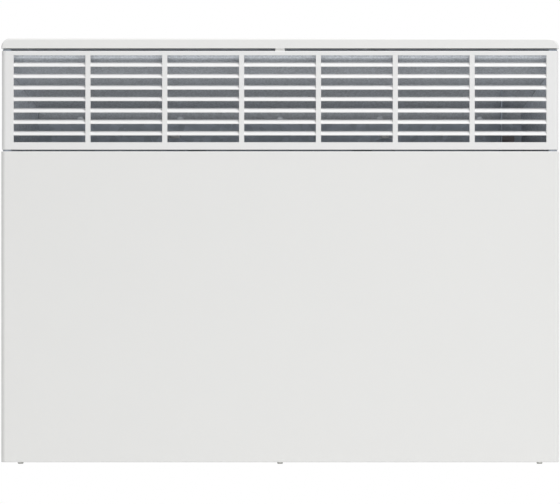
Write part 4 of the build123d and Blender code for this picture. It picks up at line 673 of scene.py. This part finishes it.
class HEATER_OT_rocker_marks(bpy.types.Operator):
    """Print a bar and a ring on the two sloping ends of the power rocker"""

    bl_idname = "heater.rocker_marks"
    bl_label = "Print the Rocker Marks"

    def execute(self, context):
        joints = frame["record"]["behaviour"]["joints"]
        pivot = [joint["pos_m"] for joint in joints if joint["child"] == "power_rocker"][0]
        rocker = at(*pivot) @ Matrix.Rotation(ROCKER_TILT, 4, "Y")
        height = ROCKER_WAIST + ROCKER_MARK_X * math.tan(ROCKER_FALL) + INK_PROUD
        marks = bmesh.new()
        bar = rectangle_shape(BAR_WIDTH, BAR_LENGTH)
        ring = ring_shape(RING_RADIUS, RING_INNER_RADIUS)
        for side, shape in ((-1, bar), (1, ring)):
            fall = Matrix.Rotation(-side * ROCKER_FALL, 4, "Y")
            face = at(side * ROCKER_MARK_X * MM, 0, height * MM) @ fall
            print_mark(marks, shape, rocker @ face)
        add_marks("rocker_marks", marks, "power_rocker")
        return {"FINISHED"}


# The photograph's frame and the heater's outline in it, in pixels.
PHOTO_WIDTH = 560
PHOTO_HEIGHT = 504
OUTLINE_WIDTH = 557.9
OUTLINE_CENTRE = (280.05, 250.15)
# The camera's sensor in millimetres, and the nearest and farthest that it sees in metres.
SENSOR_WIDTH = 36.0
NEAREST = 0.01
FARTHEST = 100.0
# Roughness and grain, in millimetres, of the painted board that serves as the floor.
FLOOR_ROUGHNESS = 0.8
FLOOR_GRAIN = 3.0


def front_of(node):
    """The middle of the front face of a CAD node."""
    low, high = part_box(node)
    return Vector(((low.x + high.x) / 2, low.y, (low.z + high.z) / 2))


def add_lamp(name, place, target, width, height, power):
    """A soft rectangular lamp that looks at a point."""
    light = bpy.data.lights.new(name, "AREA")
    light.shape = "RECTANGLE"
    light.size = width
    light.size_y = height
    light.energy = power
    lamp = bpy.data.objects.new(name, light)
    lamp.location = place
    lamp.rotation_euler = (target - Vector(place)).to_track_quat("-Z", "Y").to_euler()
    bpy.context.scene.collection.objects.link(lamp)


def add_camera(lens):
    """A long lens straight in front, framed so that the heater fills the picture's width."""
    low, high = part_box("front_panel")
    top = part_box("top_cap")[1].z
    pixel = (high.x - low.x) / OUTLINE_WIDTH
    centre_z = (low.z + top) / 2
    distance = PHOTO_WIDTH * pixel * lens / SENSOR_WIDTH
    data = bpy.data.cameras.new("camera")
    data.lens = lens
    data.sensor_fit = "HORIZONTAL"
    data.sensor_width = SENSOR_WIDTH
    camera = bpy.data.objects.new("camera", data)
    camera.location = (
        (PHOTO_WIDTH / 2 - OUTLINE_CENTRE[0]) * pixel,
        low.y - distance,
        centre_z + (OUTLINE_CENTRE[1] - PHOTO_HEIGHT / 2) * pixel,
    )
    camera.rotation_euler = (math.radians(90), 0, 0)
    data.clip_start = NEAREST
    data.clip_end = FARTHEST
    bpy.context.scene.collection.objects.link(camera)
    bpy.context.scene.camera = camera


def white_room(level):
    """A world that shows as white and lights the heater evenly at a lower level."""
    world = bpy.data.worlds.new("white_room")
    world.use_nodes = True
    tree = world.node_tree
    tree.nodes.clear()
    path = add_node(tree, "ShaderNodeLightPath")
    seen = add_node(
        tree, "ShaderNodeMath",
        {0: path.outputs["Is Camera Ray"], 1: path.outputs["Is Transmission Ray"]},
        operation="MAXIMUM",
    )
    seen = add_node(
        tree, "ShaderNodeMath",
        {0: seen.outputs["Value"], 1: path.outputs["Is Glossy Ray"]}, operation="MAXIMUM",
    )
    even = add_node(
        tree, "ShaderNodeBackground", {"Color": (1.0, 1.0, 1.0, 1.0), "Strength": level}
    )
    white = add_node(
        tree, "ShaderNodeBackground", {"Color": (1.0, 1.0, 1.0, 1.0), "Strength": 1.0}
    )
    mixed = add_node(
        tree, "ShaderNodeMixShader",
        {0: seen.outputs["Value"], 1: even.outputs[0], 2: white.outputs[0]},
    )
    output = add_node(tree, "ShaderNodeOutputWorld")
    tree.links.new(mixed.outputs[0], output.inputs["Surface"])
    bpy.context.scene.world = world


def add_floor(drop, reach):
    """A plain pale floor below the heater."""
    mesh = bpy.data.meshes.new("floor")
    shape = bmesh.new()
    bmesh.ops.create_grid(shape, x_segments=1, y_segments=1, size=reach)
    bmesh.ops.translate(shape, vec=(0, 0, CAD_BOX[0].z - drop), verts=shape.verts)
    shape.to_mesh(mesh)
    shape.free()
    floor = bpy.data.objects.new("floor", mesh)
    bpy.context.scene.collection.objects.link(floor)
    tone = bpy.context.scene.heater_studio.floor_tone
    mesh.materials.append(moulded_plastic("pale_floor", tone, FLOOR_ROUGHNESS, FLOOR_GRAIN))


class HEATER_OT_studio(bpy.types.Operator):
    """Set up the pale floor, the soft lamps, the white room and the camera"""

    bl_idname = "heater.studio"
    bl_label = "Set Up the Studio"

    def execute(self, context):
        studio = context.scene.heater_studio
        context.scene.view_settings.view_transform = "Standard"
        add_floor(studio.floor_drop, studio.floor_reach)
        white_room(studio.room_level)
        add_lamp(
            "key_lamp", studio.key_place, front_of("front_panel"), studio.key_size,
            studio.key_size, studio.key_power,
        )
        add_lamp(
            "fill_lamp", studio.fill_place, front_of("grille_panel"), studio.fill_width,
            studio.fill_height, studio.fill_power,
        )
        add_camera(studio.lens)
        return {"FINISHED"}


OPERATORS = (
    HEATER_OT_painted_sheets, HEATER_OT_inner_sheets, HEATER_OT_mouldings, HEATER_OT_element,
    HEATER_OT_fittings, HEATER_OT_dial_scale, HEATER_OT_slider_marks, HEATER_OT_rocker_marks,
    HEATER_OT_studio,
)


class VIEW3D_PT_heater(bpy.types.Panel):
    """Sidebar panel that lists the heater's steps"""

    bl_label = "Heater"
    bl_space_type = "VIEW_3D"
    bl_region_type = "UI"
    bl_category = "Heater"

    def draw(self, context):
        for operator in OPERATORS:
            self.layout.operator(operator.bl_idname)


CLASSES = (HeaterColours, HeaterStudio, *OPERATORS, VIEW3D_PT_heater)


def register():
    for cls in CLASSES:
        bpy.utils.register_class(cls)
    bpy.types.Scene.heater_colours = bpy.props.PointerProperty(type=HeaterColours)
    bpy.types.Scene.heater_studio = bpy.props.PointerProperty(type=HeaterStudio)


def unregister():
    del bpy.types.Scene.heater_studio
    del bpy.types.Scene.heater_colours
    for cls in reversed(CLASSES):
        bpy.utils.unregister_class(cls)


def main():
    """Runs every step in order."""
    register()
    bpy.ops.heater.painted_sheets()
    bpy.ops.heater.inner_sheets()
    bpy.ops.heater.mouldings()
    bpy.ops.heater.element()
    bpy.ops.heater.fittings()
    bpy.ops.heater.dial_scale()
    bpy.ops.heater.slider_marks()
    bpy.ops.heater.rocker_marks()
    bpy.ops.heater.studio()


if __name__ == "__main__":
    main()
